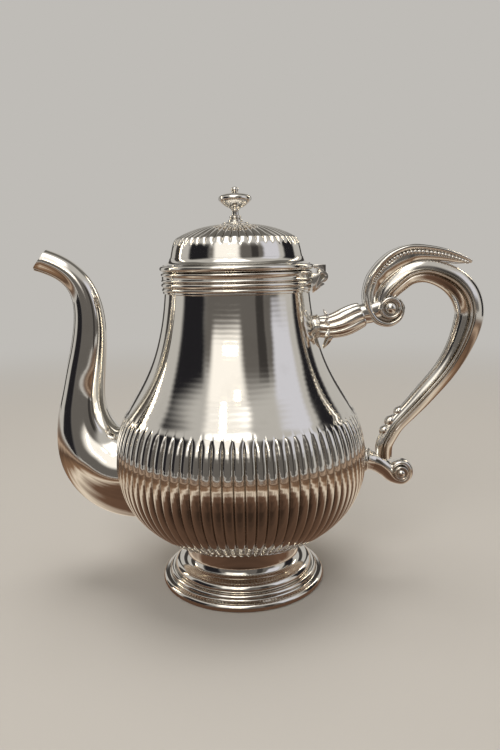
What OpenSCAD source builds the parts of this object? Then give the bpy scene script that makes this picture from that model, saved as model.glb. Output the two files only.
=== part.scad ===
/* [Foot] */
// Outer radius of the foot at its rim wire
foot_r = 47.6; // [44:0.1:56]
// Radius of the foot's neck, where it is soldered to the bowl
foot_neck_r = 31; // [27:0.5:34]
// Height of the foot, from the table to the flat under the bowl
foot_h = 24.3; // [20:0.1:34]
// Thickness of the sheet that the foot is spun from
foot_wall = 1.2; // [0.8:0.1:2]
// Diameter of the wire that stiffens the foot's lower edge
foot_wire_d = 4.8; // [3:0.1:6]

/* [Body] */
// Largest radius of the bowl, over the flutes
bowl_r = 71.8; // [64:0.1:80]
// Height of the widest place of the bowl
bowl_z = 73; // [66:0.5:80]
// Height at which the flutes run out and the smooth upper body begins
flute_top_z = 104; // [98:0.5:112]
// Radius of the neck
neck_r = 40.4; // [37:0.1:44]
// Height of the neck, where the mouldings begin
neck_z = 168.5; // [160:0.5:180]
// Thickness of the body's sheet
body_wall = 1; // [0.7:0.1:1.6]
// Number of flutes round the bowl
flutes = 80; // [48:4:84]
// Depth of a flute's groove at the widest place
flute_depth = 1.3; // [0.6:0.1:1.8]
// Height over which the grooves run out to a point
flute_fade = 10; // [6:0.5:20]

/* [Mouth] */
// Height of the moulding round the neck
moulding_h = 6.3; // [5:0.1:9]
// Height of the plain band that the lid closes on
band_h = 5.2; // [4:0.1:8]
// How far the band stands out from the neck
band_out = 1.7; // [1.2:0.1:3]

/* [Lid] */
// Height of the half-round bead at the lid's edge
lid_rim_h = 3.4; // [2.4:0.1:5]
// How far the bead stands out past the band
lid_rim_out = 0.6; // [0.2:0.1:1.5]
// Height of the hollow flare between the bead and the dome
flare_h = 3.9; // [3:0.1:6]
// Radius of the dome at its foot
dome_r = 36.6; // [34:0.1:38.5]
// Height of the dome above the flare
dome_h = 17.8; // [14:0.1:24]
// Radius at which the dome's flutes run out
dome_flute_r = 33; // [28:0.5:33.5]
// Number of flutes round the dome
dome_flutes = 48; // [24:4:60]
// Depth of the grooves of the dome
dome_flute_depth = 0.9; // [0.4:0.1:1.2]
// Thickness of the lid's sheet
lid_wall = 1; // [0.7:0.1:1.4]
// Height of the bezel that locates the lid in the mouth
bezel_h = 3.8; // [2.5:0.1:4.5]
// Gap between the shut lid and the band
lid_gap = 0.2; // [0.1:0.05:0.4]

/* [Knob] */
// Radius of the knob's disc
knob_r = 9.1; // [7:0.1:12]
// Height of the knob above its base flange
knob_h = 19; // [16:0.5:24]
// Radius of the base flange
knob_base_r = 7.3; // [6:0.1:8.2]
// Thickness of the base flange
knob_base_h = 0.9; // [0.6:0.1:1.5]
// Diameter of the stud that holds the knob
stud_d = 3; // [2:0.1:3.4]
// Width of the nut inside the lid, across its flats
nut_w = 7; // [6:0.1:9]

/* [Hinge] */
// How far the hinge pin stands out from the band
hinge_out = 4.7; // [4.5:0.1:7]
// Drop of the hinge pin below the top of the band
hinge_drop = 3.8; // [3:0.1:5]
// Outer diameter of the knuckles
knuckle_d = 6.2; // [5:0.1:7]
// Diameter of the hinge pin
pin_d = 2.4; // [1.6:0.1:3]
// Width of the lid's knuckle
lid_knuckle_w = 7; // [5:0.5:10]
// Width of each of the body's two knuckles
body_knuckle_w = 5; // [3:0.5:7]
// Gap between two knuckles
knuckle_gap = 0.25; // [0.1:0.05:0.5]
// Gap between the pin and its bore, all round
pin_gap = 0.1; // [0.05:0.05:0.2]

/* [Spout] */
// How far the spout's tip stands out past the bowl
spout_tip_out = 35.2; // [28:0.1:42]
// Height of the spout's tip
spout_tip_z = 188; // [180:0.5:196]
// How far the middle of the spout's waist stands out past the bowl
spout_waist_out = 11.4; // [8:0.1:16]
// Height of the waist
spout_waist_z = 153; // [145:0.5:160]
// How far the middle of the spout's belly stands out past the bowl
spout_belly_out = 18.2; // [14:0.1:24]
// Height of the belly
spout_belly_z = 106; // [100:0.5:112]
// Height of the middle of the spout's root
spout_root_z = 65; // [60:0.5:70]
// Half height of the root
spout_root_r = 26.5; // [22:0.5:29]
// Radius at the belly
spout_belly_r = 13.2; // [10:0.1:15]
// Radius at the waist
spout_waist_r = 8.8; // [7:0.1:11]
// Radius at the tip
spout_tip_r = 6.1; // [5:0.1:8]
// Thickness of the spout's wall
spout_wall = 1.2; // [0.8:0.1:1.8]
// How far the lower lip runs out past the upper one
spout_lip = 4; // [1:0.5:6]
// Diameter of one strainer hole in the bowl, behind the spout
strainer_d = 3.2; // [2:0.1:4]
// Distance between neighbouring strainer holes
strainer_pitch = 6; // [5:0.1:8]

/* [Handle] */
// How far the handle's outermost point stands out past the bowl
handle_out = 66.8; // [60:0.1:78]
// Height of the top of the handle's rod above the upper scroll's eye
handle_rise = 26.6; // [24:0.1:30]
// Thickness of the rod where the hand holds it
handle_d = 16.4; // [12:0.1:18]
// Width of the rod as a share of its thickness
handle_flat = 0.82; // [0.6:0.01:1]
// Depth of the grooves between the reeds, as a share of the half thickness
reed_depth = 0.14; // [0.05:0.01:0.2]
// Height of the upper socket on the body
socket_z = 148; // [146:0.5:150]
// Radius of the collar at the upper socket
socket_collar_r = 6.4; // [5.5:0.1:7.2]
// How far the upper scroll's eye stands out from the body
eye_out = 41.5; // [38:0.1:46]
// Height of the upper scroll's eye above the socket
eye_rise = 10; // [8:0.1:12]
// Radius of the upper scroll's eye
eye_r = 6.2; // [5.6:0.1:6.6]
// Height of the lower socket on the bowl
lower_z = 69.5; // [67:0.5:72]
// Radius of the lower socket
lower_r = 6.6; // [5.5:0.1:7]
// How far the tail scroll's eye stands out from the bowl
tail_out = 21.4; // [20:0.1:24]
// Drop of the tail scroll's eye below the lower socket
tail_drop = 7.7; // [6:0.1:9]
// Radius of the tail scroll
tail_r = 7.6; // [6.8:0.1:8.2]
// Height of the leaf's ridge above the rod
leaf_h = 8; // [5:0.5:9]

/* [Hidden] */

// Gap that solder fills between two seated pieces
seat = 0.1;
SILVER = "silver";
BRIGHT = "gainsboro";
$fn = 96;

// ---- Curves ---------------------------------------------------------------

function bez(p, t) = let (s = 1 - t)
    s * s * s * p[0] + 3 * s * s * t * p[1] + 3 * s * t * t * p[2] + t * t * t * p[3];
function curve(p, n) = [for (i = [0:n]) bez(p, i / n)];
function arc(c, r, a0, a1, n) =
    [for (i = [0:n]) let (a = a0 + (a1 - a0) * i / n) [c.x + r * cos(a), c.y + r * sin(a)]];
function clamp(v, lo, hi) = min(max(v, lo), hi);
function ease(v) = let (t = clamp(v, 0, 1)) t * t * (3 - 2 * t);

// A smooth curve through a list of stations, at place s counted in stations
function through(p, s) = let (
    n = len(p) - 1, i = clamp(floor(s), 0, n - 1), t = s - i,
    a = p[max(i - 1, 0)], b = p[i], c = p[i + 1], d = p[min(i + 2, n)])
    b + 0.5 * t * ((c - a) + t * ((2 * a - 5 * b + 4 * c - d) + t * (3 * (b - c) + d - a)));

// Unit normal on the left of a path at its point i, and the path moved along it
function left_of(p, i) = let (
    d = p[min(i + 1, len(p) - 1)] - p[max(i - 1, 0)], t = d / norm(d)) [-t.y, t.x];
function moved(p, by) = [for (i = [0:len(p) - 1]) p[i] + by[i] * left_of(p, i)];

// ---- Lofted solids --------------------------------------------------------

function band_faces(a, b, m) = [for (i = [0:m - 1]) let (j = (i + 1) % m)
    each [[a + i, b + j, b + i], [a + i, a + j, b + j]]];

// A solid from rings of points, closed by a flat face at each end
module loft(rings) {
    m = len(rings[0]);
    n = len(rings);
    polyhedron(
        points = [for (r = rings) each r],
        faces = concat(
            [[for (i = [m - 1:-1:0]) i]],
            [for (k = [0:n - 2]) each band_faces(k * m, (k + 1) * m, m)],
            [[for (i = [0:m - 1]) (n - 1) * m + i]]),
        convexity = 8);
}

// A pipe from outer and inner rings, open at both ends
module pipe_loft(outer, inner) {
    m = len(outer[0]);
    n = len(outer);
    rings = concat(outer, [for (k = [n - 1:-1:0]) inner[k]]);
    polyhedron(
        points = [for (r = rings) each r],
        faces = [for (k = [0:2 * n - 1]) each band_faces(k * m, (k + 1) % (2 * n) * m, m)],
        convexity = 8);
}

// A ring of a sweep in the XZ plane: the section's x lies along the normal, its y along Y
function ring_at(c, normal, section) =
    [for (q = section) [c.x + normal.x * q.x, q.y, c.y + normal.y * q.x]];

// Rings of a sweep through stations [x, z, half thickness, half width]. The rings numbered in
// upright stand in a YZ plane, as where a sweep meets a face of its neighbour.
function sweep_rings(p, steps, unit, upright = []) = [for (k = [0:steps]) let (
    s = k * (len(p) - 1) / steps,
    d = through(p, s + 0.02) - through(p, s - 0.02),
    t = len(search(k, upright)) > 0 ? [1, 0] : [d[0], d[1]] / norm([d[0], d[1]]),
    v = through(p, s))
    ring_at([v[0], v[1]], [-t.y, t.x], [for (q = unit) [q.x * v[2], q.y * v[3]]])];

function round_section(n) = [for (i = [0:n - 1]) [cos(360 * i / n), sin(360 * i / n)]];

// ---- The body's outline ---------------------------------------------------

bowl_rise = bowl_z - foot_h;
neck_rise = neck_z - bowl_z;
bowl_curve = [[foot_neck_r, foot_h],
              [foot_neck_r + 0.515 * (bowl_r - foot_neck_r), foot_h + 0.148 * bowl_rise],
              [bowl_r, bowl_z - 0.534 * bowl_rise], [bowl_r, bowl_z]];
upper_curve = [[bowl_r, bowl_z], [bowl_r, bowl_z + 0.393 * neck_rise],
               [neck_r + 0.178 * (bowl_r - neck_r), neck_z - 0.634 * neck_rise], [neck_r, neck_z]];
body_table = [for (p = concat(curve(bowl_curve, 30), curve(upper_curve, 40))) [p.y, p.x]];
function body_r(z) = lookup(z, body_table);

// The outline of the bowl over the crests of the flutes, from its flat bottom upwards
bowl_line = concat(
    [for (t = [0, 0.15, 0.35, 0.55, 0.77]) bez(bowl_curve, t)],
    [for (f = [0, 0.35, 0.65, 0.85, 1]) let (z = bowl_z + f * (flute_top_z - bowl_z))
        [body_r(z), z]]);
upper_steps = 14;
upper_line = [for (i = [0:upper_steps])
    let (z = flute_top_z + (neck_z - flute_top_z) * i / upper_steps) [body_r(z), z]];
moulding_top = neck_z + moulding_h;
band_top = moulding_top + band_h;
band_r = neck_r + band_out;
hinge_x = band_r + hinge_out;
mouth_r = neck_r - body_wall;

// How deep the grooves are at a point of the bowl's outline
function groove(p, i) = i == 0 ? 0 :
    flute_depth * p.x / bowl_r * ease((flute_top_z - p.y) / flute_fade);

// Everything inside the crests of the flutes, grown by a gap: what the sockets are cut by
module body_block(gap) {
    rotate_extrude($fn = 192)
        polygon(concat([[0, foot_h - gap]],
            [for (p = moved(bowl_line, [for (q = bowl_line) -gap])) [p.x, max(p.y, foot_h - gap)]],
            [for (p = upper_line) [p.x + gap, p.y + gap]],
            [[0, neck_z + gap]]));
}

// ---- Body -----------------------------------------------------------------

// One ring of the fluted bowl. Each flute has four columns: the groove, the crest and
// the two shoulders between them, which close in on the groove where it runs out.
function flute_ring(line, i, deep, count, run_out) = let (
    p = line[i], nrm = left_of(line, i), pitch = 360 / count,
    shoulder = pitch / 2 * (0.94 - 0.42 * run_out))
    [for (k = [0:count - 1], q = [[-pitch / 2, 1], [-shoulder, 0.24 * run_out], [0, 0],
                                  [shoulder, 0.24 * run_out]])
        let (a = -k * pitch - q[0], v = p + nrm * deep * q[1]) [v.x * cos(a), v.x * sin(a), v.y]];

module strainer_holes() {
    rows = 4;
    for (row = [-rows / 2:rows / 2], col = [-2:2]) {
        y = (col + (row % 2 == 0 ? 0 : 0.5)) * strainer_pitch;
        z = row * strainer_pitch * cos(30);
        if (norm([y, z]) < 2.2 * strainer_pitch)
            translate([-bowl_r - 5, y, spout_root_z + z])
                rotate([0, 90, 0]) cylinder(d = strainer_d, h = 30, $fn = 24);
    }
}

module bowl() {
    depth = [for (i = [0:len(bowl_line) - 1]) groove(bowl_line[i], i)];
    rings = [for (i = [0:len(bowl_line) - 1])
        flute_ring(bowl_line, i, depth[i], flutes,
                   ease((flute_top_z - bowl_line[i].y) / flute_fade))];
    inside = moved(bowl_line, [for (d = depth) d + body_wall]);
    last = len(inside) - 1;
    color(SILVER) difference() {
        loft(rings);
        rotate_extrude($fn = 4 * flutes)
            polygon(concat([[0, inside[0].y]], [for (i = [0:last - 1]) inside[i]],
                [[bowl_line[last].x - body_wall, flute_top_z],
                 [bowl_line[last].x - body_wall, flute_top_z + 5], [0, flute_top_z + 5]]));
        strainer_holes();
    }
}

module upper_body() {
    color(SILVER) rotate_extrude()
        polygon(concat(upper_line, [[neck_r, moulding_top], [mouth_r, moulding_top]],
            [for (i = [upper_steps:-1:0]) [upper_line[i].x - body_wall, upper_line[i].y]]));
}

// Two mouldings soldered round the neck: a bead above an ogee
module neck_moulding() {
    inner = neck_r + seat;
    bead = moulding_h * 0.29;
    ogee_top = moulding_top - 2 * bead;
    color(BRIGHT) rotate_extrude()
        polygon(concat([[inner, neck_z]],
            arc([neck_r + 0.9, neck_z + 0.8], 0.8, -90, 0, 4),
            arc([neck_r + 0.7, ogee_top - 0.9], 0.6, -60, 60, 4),
            arc([neck_r + band_out - bead, moulding_top - bead], bead * 0.9, -75, 75, 8),
            [[inner, moulding_top]]));
}

module rim_band() {
    step = 0.35;
    color(BRIGHT) rotate_extrude()
        polygon(concat([[mouth_r, moulding_top], [band_r - 0.7, moulding_top]],
            arc([band_r - 0.7, moulding_top + 0.8], 0.8, -90, 0, 4),
            [[band_r - step, moulding_top + 1.3]],
            arc([band_r - 0.8, band_top - 1.2], 1, -40, 90, 6),
            [[mouth_r, band_top]]));
}

// ---- Foot -----------------------------------------------------------------

foot_neck = [[foot_neck_r, foot_h], [foot_neck_r - 0.8, foot_h * 0.66],
             [foot_neck_r + 0.5, foot_h * 0.52], [foot_r - 10.4, foot_h * 0.5]];
foot_edge = foot_r - foot_wire_d / 2;
wire_flat = 0.15;
wire_c = [foot_edge, foot_wire_d / 2 - wire_flat];

// Spun foot: a hollow neck, a round shoulder, a bead and a hollow down to the rim wire.
// Its inside is plain, so the sheet is thickest behind the bead.
module foot() {
    rest = wire_c.y + foot_wire_d / 2 + seat;
    inside = moved(curve(foot_neck, 6), [for (i = [0:6]) -foot_wall]);
    color(SILVER) rotate_extrude()
        polygon(concat(
            curve(foot_neck, 8),
            arc([foot_r - 10.6, foot_h * 0.5 - 3.4], 3.4, 75, 12, 5),
            arc([foot_r - 6.3, rest + 1.5], 1.9, 60, -20, 5),
            [[foot_edge + 1, rest + 0.6]],
            arc(wire_c, foot_wire_d / 2 + seat, 60, 120, 6),
            [[foot_edge - 4, rest]],
            [for (i = [6:-1:1]) inside[i]],
            [[foot_neck_r - foot_wall, foot_h]]));
}

// Round wire under the foot's edge, filed flat where it stands
module foot_wire() {
    color(BRIGHT) rotate_extrude()
        translate(wire_c)
            intersection() {
                circle(d = foot_wire_d, $fn = 32);
                translate([-foot_wire_d, -wire_c.y]) square([2 * foot_wire_d, foot_wire_d]);
            }
}

// ---- Spout ----------------------------------------------------------------

spout_tip_x = bowl_r + spout_tip_out;
spout_waist_x = bowl_r + spout_waist_out;
spout_belly_x = bowl_r + spout_belly_out;
spout_low = [[-bowl_r + 10, spout_root_z], [-bowl_r - 8, spout_root_z + 1],
             [-spout_belly_x - 1.6, spout_belly_z - 24], [-spout_belly_x, spout_belly_z]];
spout_mid = [[-spout_belly_x, spout_belly_z], [-spout_belly_x + 1.2, spout_belly_z + 16],
             [-spout_waist_x - 0.3, spout_waist_z - 15], [-spout_waist_x, spout_waist_z]];
spout_high = [[-spout_waist_x, spout_waist_z], [-spout_waist_x + 0.3, spout_waist_z + 15],
              [-spout_tip_x + 20, spout_tip_z - 6.5], [-spout_tip_x, spout_tip_z]];
spout_path = concat(curve(spout_low, 8), [for (i = [1:4]) bez(spout_mid, i / 4)],
                    [for (i = [1:6]) bez(spout_high, i / 6)]);
spout_end = len(spout_path) - 1;
// Half thickness and half width at even steps from the root to the tip
spout_sizes = [[spout_root_r, spout_root_r * 0.92], [spout_root_r - 4.3, spout_root_r - 6.5],
               [spout_belly_r, spout_belly_r * 0.95],
               [(spout_belly_r + spout_waist_r) / 2 - 0.4, (spout_belly_r + spout_waist_r) / 2 - 0.6],
               [spout_waist_r, spout_waist_r * 0.96], [spout_tip_r + 0.8, spout_tip_r + 0.7],
               [spout_tip_r, spout_tip_r]];

function spout_rings(thin) = [for (i = [0:spout_end]) let (
    s = i <= 8 ? i / 4 : i <= 12 ? 2 + (i - 8) / 2 : 4 + (i - 12) / 3,
    size = through(spout_sizes, s), nrm = left_of(spout_path, i),
    lip = i < spout_end ? 0 : spout_lip,
    along = [nrm.y, -nrm.x])
    [for (q = round_section(20)) let (
        c = spout_path[i] + along * lip * max(q.x, -0.2))
        [c.x + nrm.x * q.x * (size[0] - thin), q.y * (size[1] - thin),
         c.y + nrm.y * q.x * (size[0] - thin)]]];

module spout() {
    color(SILVER) difference() {
        pipe_loft(spout_rings(0), spout_rings(spout_wall));
        body_block(seat);
    }
}

// ---- Handle ---------------------------------------------------------------

socket_x = body_r(socket_z);
lower_x = body_r(lower_z);
eye_x = socket_x + eye_out;
eye_z = socket_z + eye_rise;
tail_x = lower_x + tail_out;
tail_z = lower_z - tail_drop;
handle_h = handle_d / 2;
rod_x = bowl_r + handle_out - handle_h;
rod_top = eye_z + handle_rise - 0.79 * handle_h;

// The C scroll's rod. Its upper stations are measured from the eye, in radii of the eye,
// and the rest as shares of the way from the tail's eye to the rod's outermost middle.
function by_eye(x, z, t) = [eye_x + x * eye_r, eye_z + z * eye_r, t * handle_h];
function by_share(x, z, t) =
    [tail_x + x * (rod_x - tail_x), tail_z + z * (rod_top - tail_z), t * handle_h];
rod = [by_eye(0.08, 1.29, 0.56), by_eye(0.81, 2.26, 0.73), by_eye(1.85, 3.02, 0.78),
       by_eye(3.15, 3.25, 0.805), by_eye(4.52, 2.92, 0.84), by_share(0.77, 0.9415, 0.927),
       by_share(0.936, 0.88, 1), by_share(1, 0.802, 1), by_share(0.962, 0.72, 0.976),
       by_share(0.839, 0.613, 0.866), by_share(0.641, 0.506, 0.793), by_share(0.33, 0.383, 0.744),
       by_share(0.11, 0.303, 0.671), by_share(-0.067, 0.239, 0.622),
       by_share(-0.174, 0.183, 0.61), by_share(-0.252, 0.129, 0.61),
       by_share(-0.247, 0.073, 0.56)];
rod_stations = [for (p = rod) [p[0], p[1], p[2], p[2] * handle_flat]];

// Three reeds on each flank, parted by two grooves
reed_section = [for (i = [0:23]) let (
    a = 15 * i, f = abs((a % 180) - 90), cut = abs(f - 30) < 1 ? 1 - reed_depth : 1)
    [cut * cos(a), cut * sin(a)]];

// Outer and inner radius of the upper scroll, in radii of its eye, by the angle from its
// crown round to where it meets the eye
scroll_out = [[62, 6.2], [77, 5.65], [90, 5.03], [101, 4.45], [113, 3.94], [128, 3.42], [154, 2.71],
              [185, 2.19], [228, 1.92], [270, 1.73], [315, 1.53], [360, 1.37], [400, 1.23]];
scroll_in = [[62, 4.13], [77, 3.39], [90, 2.74], [101, 2.26], [113, 1.9], [128, 1.58], [154, 1.23],
             [185, 0.9], [228, 0.81], [400, 0.74]];
scroll_stations = [for (a = [72:20.5:400]) let (
    o = lookup(a, scroll_out) * eye_r, i = lookup(a, scroll_in) * eye_r)
    [eye_x + (o + i) / 2 * cos(a), eye_z + (o + i) / 2 * sin(a), (o - i) / 2,
     (0.97 - a / 1240) * eye_r]];

tail_wire = 0.342 * tail_r;
tail_eye_r = 0.55 * tail_r;
tail_stations = [for (i = [0:7]) let (a = 215 + i * 42, r = tail_r * (1 - i * 0.03) - tail_wire)
    [tail_x + r * cos(a), tail_z + r * sin(a), tail_wire, (0.553 - i * 0.013) * tail_r]];

socket_end = [eye_x - 2.435 * eye_r, eye_z - 0.58 * eye_r];
lower_end = [tail_x - 2.05 * tail_r, lower_z - 0.24 * lower_r];
eye_half = 0.726 * eye_r;
tail_half = 0.54 * tail_r;

module handle() {
    neck = 0.936 * eye_r;
    bar = 0.711 * tail_r;
    color(SILVER) union() {
        loft(sweep_rings(rod_stations, 22, reed_section));
        loft(sweep_rings(scroll_stations, 18, round_section(12)));
        translate([eye_x, 0, eye_z]) rotate([90, 0, 0])
            cylinder(r = eye_r, h = 2 * eye_half, center = true);
        // Neck of the scroll, which meets the socket
        loft(sweep_rings([[socket_end.x, socket_end.y, neck, neck],
                          [eye_x - 1.45 * eye_r, eye_z - 0.37 * eye_r, neck, 0.84 * neck],
                          [eye_x - 0.48 * eye_r, eye_z, 0.86 * neck, 0.69 * neck]],
                         4, round_section(16), [0]));
        // Tail scroll and the bar that meets the lower socket
        loft(sweep_rings(tail_stations, 12, round_section(12)));
        translate([tail_x, 0, tail_z]) rotate([90, 0, 0])
            cylinder(r = tail_eye_r, h = 2 * tail_half, center = true);
        loft(sweep_rings([[lower_end.x, lower_end.y, bar, 0.926 * bar],
                          [tail_x - 1.58 * tail_r, tail_z + 0.72 * tail_r, 0.96 * bar, 0.9 * bar],
                          [tail_x - tail_r, tail_z + 0.26 * tail_r, 0.85 * bar, 0.85 * bar],
                          [tail_x - 0.53 * tail_r, tail_z - 0.47 * tail_r, 0.56 * bar, 0.78 * bar]],
                         6, round_section(16), [0]));
    }
}

// An eye with a raised ring and a ball, one on each side of a scroll
module eye(radius, ball_r, face_y) {
    for (side = [-1, 1])
        rotate([side * 90, 0, 0]) translate([0, 0, face_y])
            rotate_extrude() polygon(concat([[0, 0], [radius, 0]],
                arc([0.85 * radius, 0.15 * radius], 0.15 * radius, 0, 150, 6),
                arc([0, 0.06 * radius], ball_r, 20, 90, 6)));
}

module scroll_bosses() {
    color(BRIGHT) translate([eye_x, 0, eye_z]) eye(eye_r, 0.58 * eye_r, eye_half + seat);
}

module tail_bosses() {
    color(BRIGHT) translate([tail_x, 0, tail_z]) eye(tail_eye_r, 0.6 * tail_eye_r, tail_half + seat);
}

// One ring of a leaf that lies on the rod at place s: an arc over the leaf's back, then one
// along the rod's skin. It spans the angle +-span on the rod's outer (1) or inner (-1) side.
leaf_arc = [-1:0.25:1];
leaf_seat = 2 * seat;
leaf_t = 0.11 * handle_h;
function leaf_ring(s, span, lift, ridge, side) = let (
    v = through(rod_stations, s),
    d = through(rod_stations, s + 0.02) - through(rod_stations, s - 0.02),
    t = [d[0], d[1]] / norm([d[0], d[1]]), nrm = [-t.y, t.x] * side)
    concat(
        [for (f = leaf_arc) let (e = f * span, h = lift + leaf_t + ridge * pow(cos(90 * f), 4))
            [v[0] + nrm.x * cos(e) * (v[2] + leaf_seat + h),
             side * sin(e) * (v[3] + leaf_seat + min(h, 2 * leaf_t)),
             v[1] + nrm.y * cos(e) * (v[2] + leaf_seat + h)]],
        [for (f = leaf_arc) let (e = -f * span)
            [v[0] + nrm.x * cos(e) * (v[2] + leaf_seat + lift), side * sin(e) * (v[3] + leaf_seat),
             v[1] + nrm.y * cos(e) * (v[2] + leaf_seat + lift)]]);

// A solid from such rings, with each end closed by strips between the two arcs
module leaf_loft(rings) {
    m = len(rings[0]);
    last = (len(rings) - 1) * m;
    strips = [for (i = [0:m / 2 - 2]) [i, i + 1, m - 2 - i, m - 1 - i]];
    polyhedron(
        points = [for (r = rings) each r],
        faces = concat(
            [for (q = strips) [q[3], q[2], q[1], q[0]]],
            [for (k = [0:len(rings) - 2]) each band_faces(k * m, (k + 1) * m, m)],
            [for (q = strips) [for (i = q) last + i]]),
        convexity = 8);
}

// The acanthus leaf on the rod's crown, which ends in a free tip
leaf_first = 2.2;
leaf_last = 5.1;
module handle_leaf() {
    steps = 16;
    color(BRIGHT) leaf_loft([for (k = [0:steps]) let (f = k / steps)
        leaf_ring(leaf_first + (leaf_last - leaf_first) * f,
                  90 * (1 - 0.9 * ease((f - 0.35) / 0.65)) * (k % 2 == 0 ? 1 : 0.9),
                  0.44 * handle_h * ease((f - 0.7) / 0.3), leaf_h * (1 - 0.68 * f), 1)]);
}

// Small leaf of three bumps on the inside of the handle's lower end
module tail_leaf() {
    bumps = 3;
    steps = 4 * bumps;
    color(BRIGHT) leaf_loft([for (k = [0:steps])
        leaf_ring(12.5 + 2 * k / steps, 36 + 22 * sin(180 * k / steps), 0,
                  0.37 * handle_h * pow(sin(180 * bumps * k / steps), 2), -1)]);
}

// ---- Sockets on the body --------------------------------------------------

collar_t = 0.25 * socket_collar_r;
flange_t = 0.1 * socket_collar_r;
socket_start = socket_x + collar_t + flange_t + seat;

module upper_collar() {
    color(BRIGHT) difference() {
        translate([socket_x - 8, 0, socket_z]) rotate([0, 90, 0])
            cylinder(r = 1.125 * socket_collar_r, h = 8 + collar_t + flange_t);
        body_block(seat);
    }
}

module upper_socket() {
    r = socket_collar_r;
    color(SILVER) loft(sweep_rings(
        [[socket_start, socket_z, r, r],
         [socket_start + 0.94 * r, socket_z + 0.015 * r, 1.06 * r, 1.03 * r],
         [(socket_start + socket_end.x) / 2 + 0.3 * r, socket_z + 0.25 * r, 1.2 * r, 1.09 * r],
         [socket_end.x - 0.94 * r, socket_end.y - 0.25 * r, 1.16 * r, 1.06 * r],
         [socket_end.x - seat, socket_end.y, 0.936 * eye_r, 0.936 * eye_r]],
        12, round_section(16), [0, 12]));
}

// Leaf tips that curl away from the socket, just off the collar
module calyx() {
    tips = 6;
    r = socket_collar_r;
    color(BRIGHT) for (i = [0:tips - 1])
        translate([socket_start + 0.69 * r, 0, socket_z]) rotate([30 + 360 * i / tips, 0, 0])
            translate([0, 0, 1.06 * r]) loft([for (k = [0:4]) let (f = k / 4)
                [for (q = [[-1, 0], [0, 0.7], [1, 0], [0, -0.7]]) r *
                    [-0.47 * f * f + 0.41 * f - q.y * 0.19 * (1 - 0.7 * f),
                     q.x * 0.47 * (1 - 0.8 * f * f), 0.72 * f + q.y * 0.08 * f]]]);
}

module lower_collar() {
    color(BRIGHT) difference() {
        translate([lower_x - 8, 0, lower_z]) rotate([0, 90, 0])
            cylinder(r = 1.09 * lower_r, h = 8 + collar_t);
        body_block(seat);
    }
}

module lower_socket() {
    start = lower_x + collar_t + seat;
    color(SILVER) loft(sweep_rings(
        [[start, lower_z, lower_r, lower_r],
         [(start + lower_end.x) / 2, (lower_z + lower_end.y) / 2, 0.86 * lower_r, 0.85 * lower_r],
         [lower_end.x - seat, lower_end.y, 0.711 * tail_r, 0.658 * tail_r]],
        4, round_section(16), [0, 1, 2, 3, 4]));
}

// ---- Hinge ----------------------------------------------------------------

hinge_z = band_top - hinge_drop;
lid_z = band_top + lid_gap;
hinge_half = lid_knuckle_w / 2 + knuckle_gap + body_knuckle_w;

module knuckle(width, y) {
    translate([hinge_x, y + width / 2, hinge_z]) rotate([90, 0, 0])
        cylinder(d = knuckle_d, h = width);
}

module pin_bore() {
    translate([hinge_x, hinge_half + 1, hinge_z]) rotate([90, 0, 0])
        cylinder(d = pin_d + 2 * pin_gap, h = 2 * hinge_half + 2);
}

module hinge_bracket() {
    y = lid_knuckle_w / 2 + knuckle_gap + body_knuckle_w / 2;
    low = neck_z - 1;
    top = hinge_z - knuckle_d / 2 - 0.45;
    color(SILVER) difference() {
        union() {
            for (side = [-1, 1]) {
                knuckle(body_knuckle_w, side * y);
                // Ear from the band out to the knuckle
                translate([neck_r, side * y - body_knuckle_w / 2, top - 0.6])
                    cube([hinge_x - neck_r, body_knuckle_w, knuckle_d * 0.75 + 1]);
            }
            // Tapered plate below the knuckles, down to the neck
            translate([0, hinge_half, 0]) rotate([90, 0, 0]) linear_extrude(2 * hinge_half)
                polygon([[neck_r - 0.5, low], [neck_r + 1.4, low], [hinge_x + 1.2, top - 0.5],
                         [hinge_x + 0.6, top], [neck_r, top]]);
        }
        pin_bore();
        cylinder(r = band_r + seat, h = 2 * band_top);
    }
}

module hinge_pin() {
    color(BRIGHT) translate([hinge_x, hinge_half, hinge_z]) rotate([90, 0, 0])
        cylinder(d = pin_d, h = 2 * hinge_half);
}

module hinge_strap() {
    lid_rim_r = band_r + lid_rim_out;
    color(SILVER) difference() {
        union() {
            knuckle(lid_knuckle_w, 0);
            translate([lid_rim_r - 2, -lid_knuckle_w / 2, lid_z + 0.4])
                cube([hinge_x - lid_rim_r + 2, lid_knuckle_w, lid_rim_h * 0.6]);
            translate([hinge_x - knuckle_d / 2 + 0.6, -lid_knuckle_w / 2, hinge_z])
                cube([knuckle_d - 1.2, lid_knuckle_w, lid_z + 0.4 + lid_rim_h * 0.6 - hinge_z]);
        }
        pin_bore();
        cylinder(r = lid_rim_r + seat, h = 300);
    }
}

// ---- Lid ------------------------------------------------------------------

rim_r = band_r + lid_rim_out;
flare_z = lid_z + lid_rim_h;
dome_z = flare_z + flare_h;
crown_z = dome_z + dome_h;

module lid_rim() {
    half = lid_rim_h / 2;
    color(BRIGHT) rotate_extrude()
        polygon(concat([[mouth_r - 2.2, lid_z]],
            [[rim_r - half, lid_z]], arc([rim_r - half, lid_z + half], half, -80, 80, 8),
            [[rim_r - half, flare_z], [mouth_r - 2.2, flare_z]]));
}

module lid_flare() {
    color(SILVER) rotate_extrude()
        polygon(concat([[dome_r - lid_wall, flare_z], [rim_r - 1.7, flare_z]],
            curve([[rim_r - 1.7, flare_z + 0.3], [dome_r + 2.2, flare_z + 0.7],
                   [dome_r + 0.9, flare_z + flare_h * 0.42], [dome_r + 0.4, dome_z]], 8),
            [[dome_r - lid_wall, dome_z]]));
}

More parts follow.
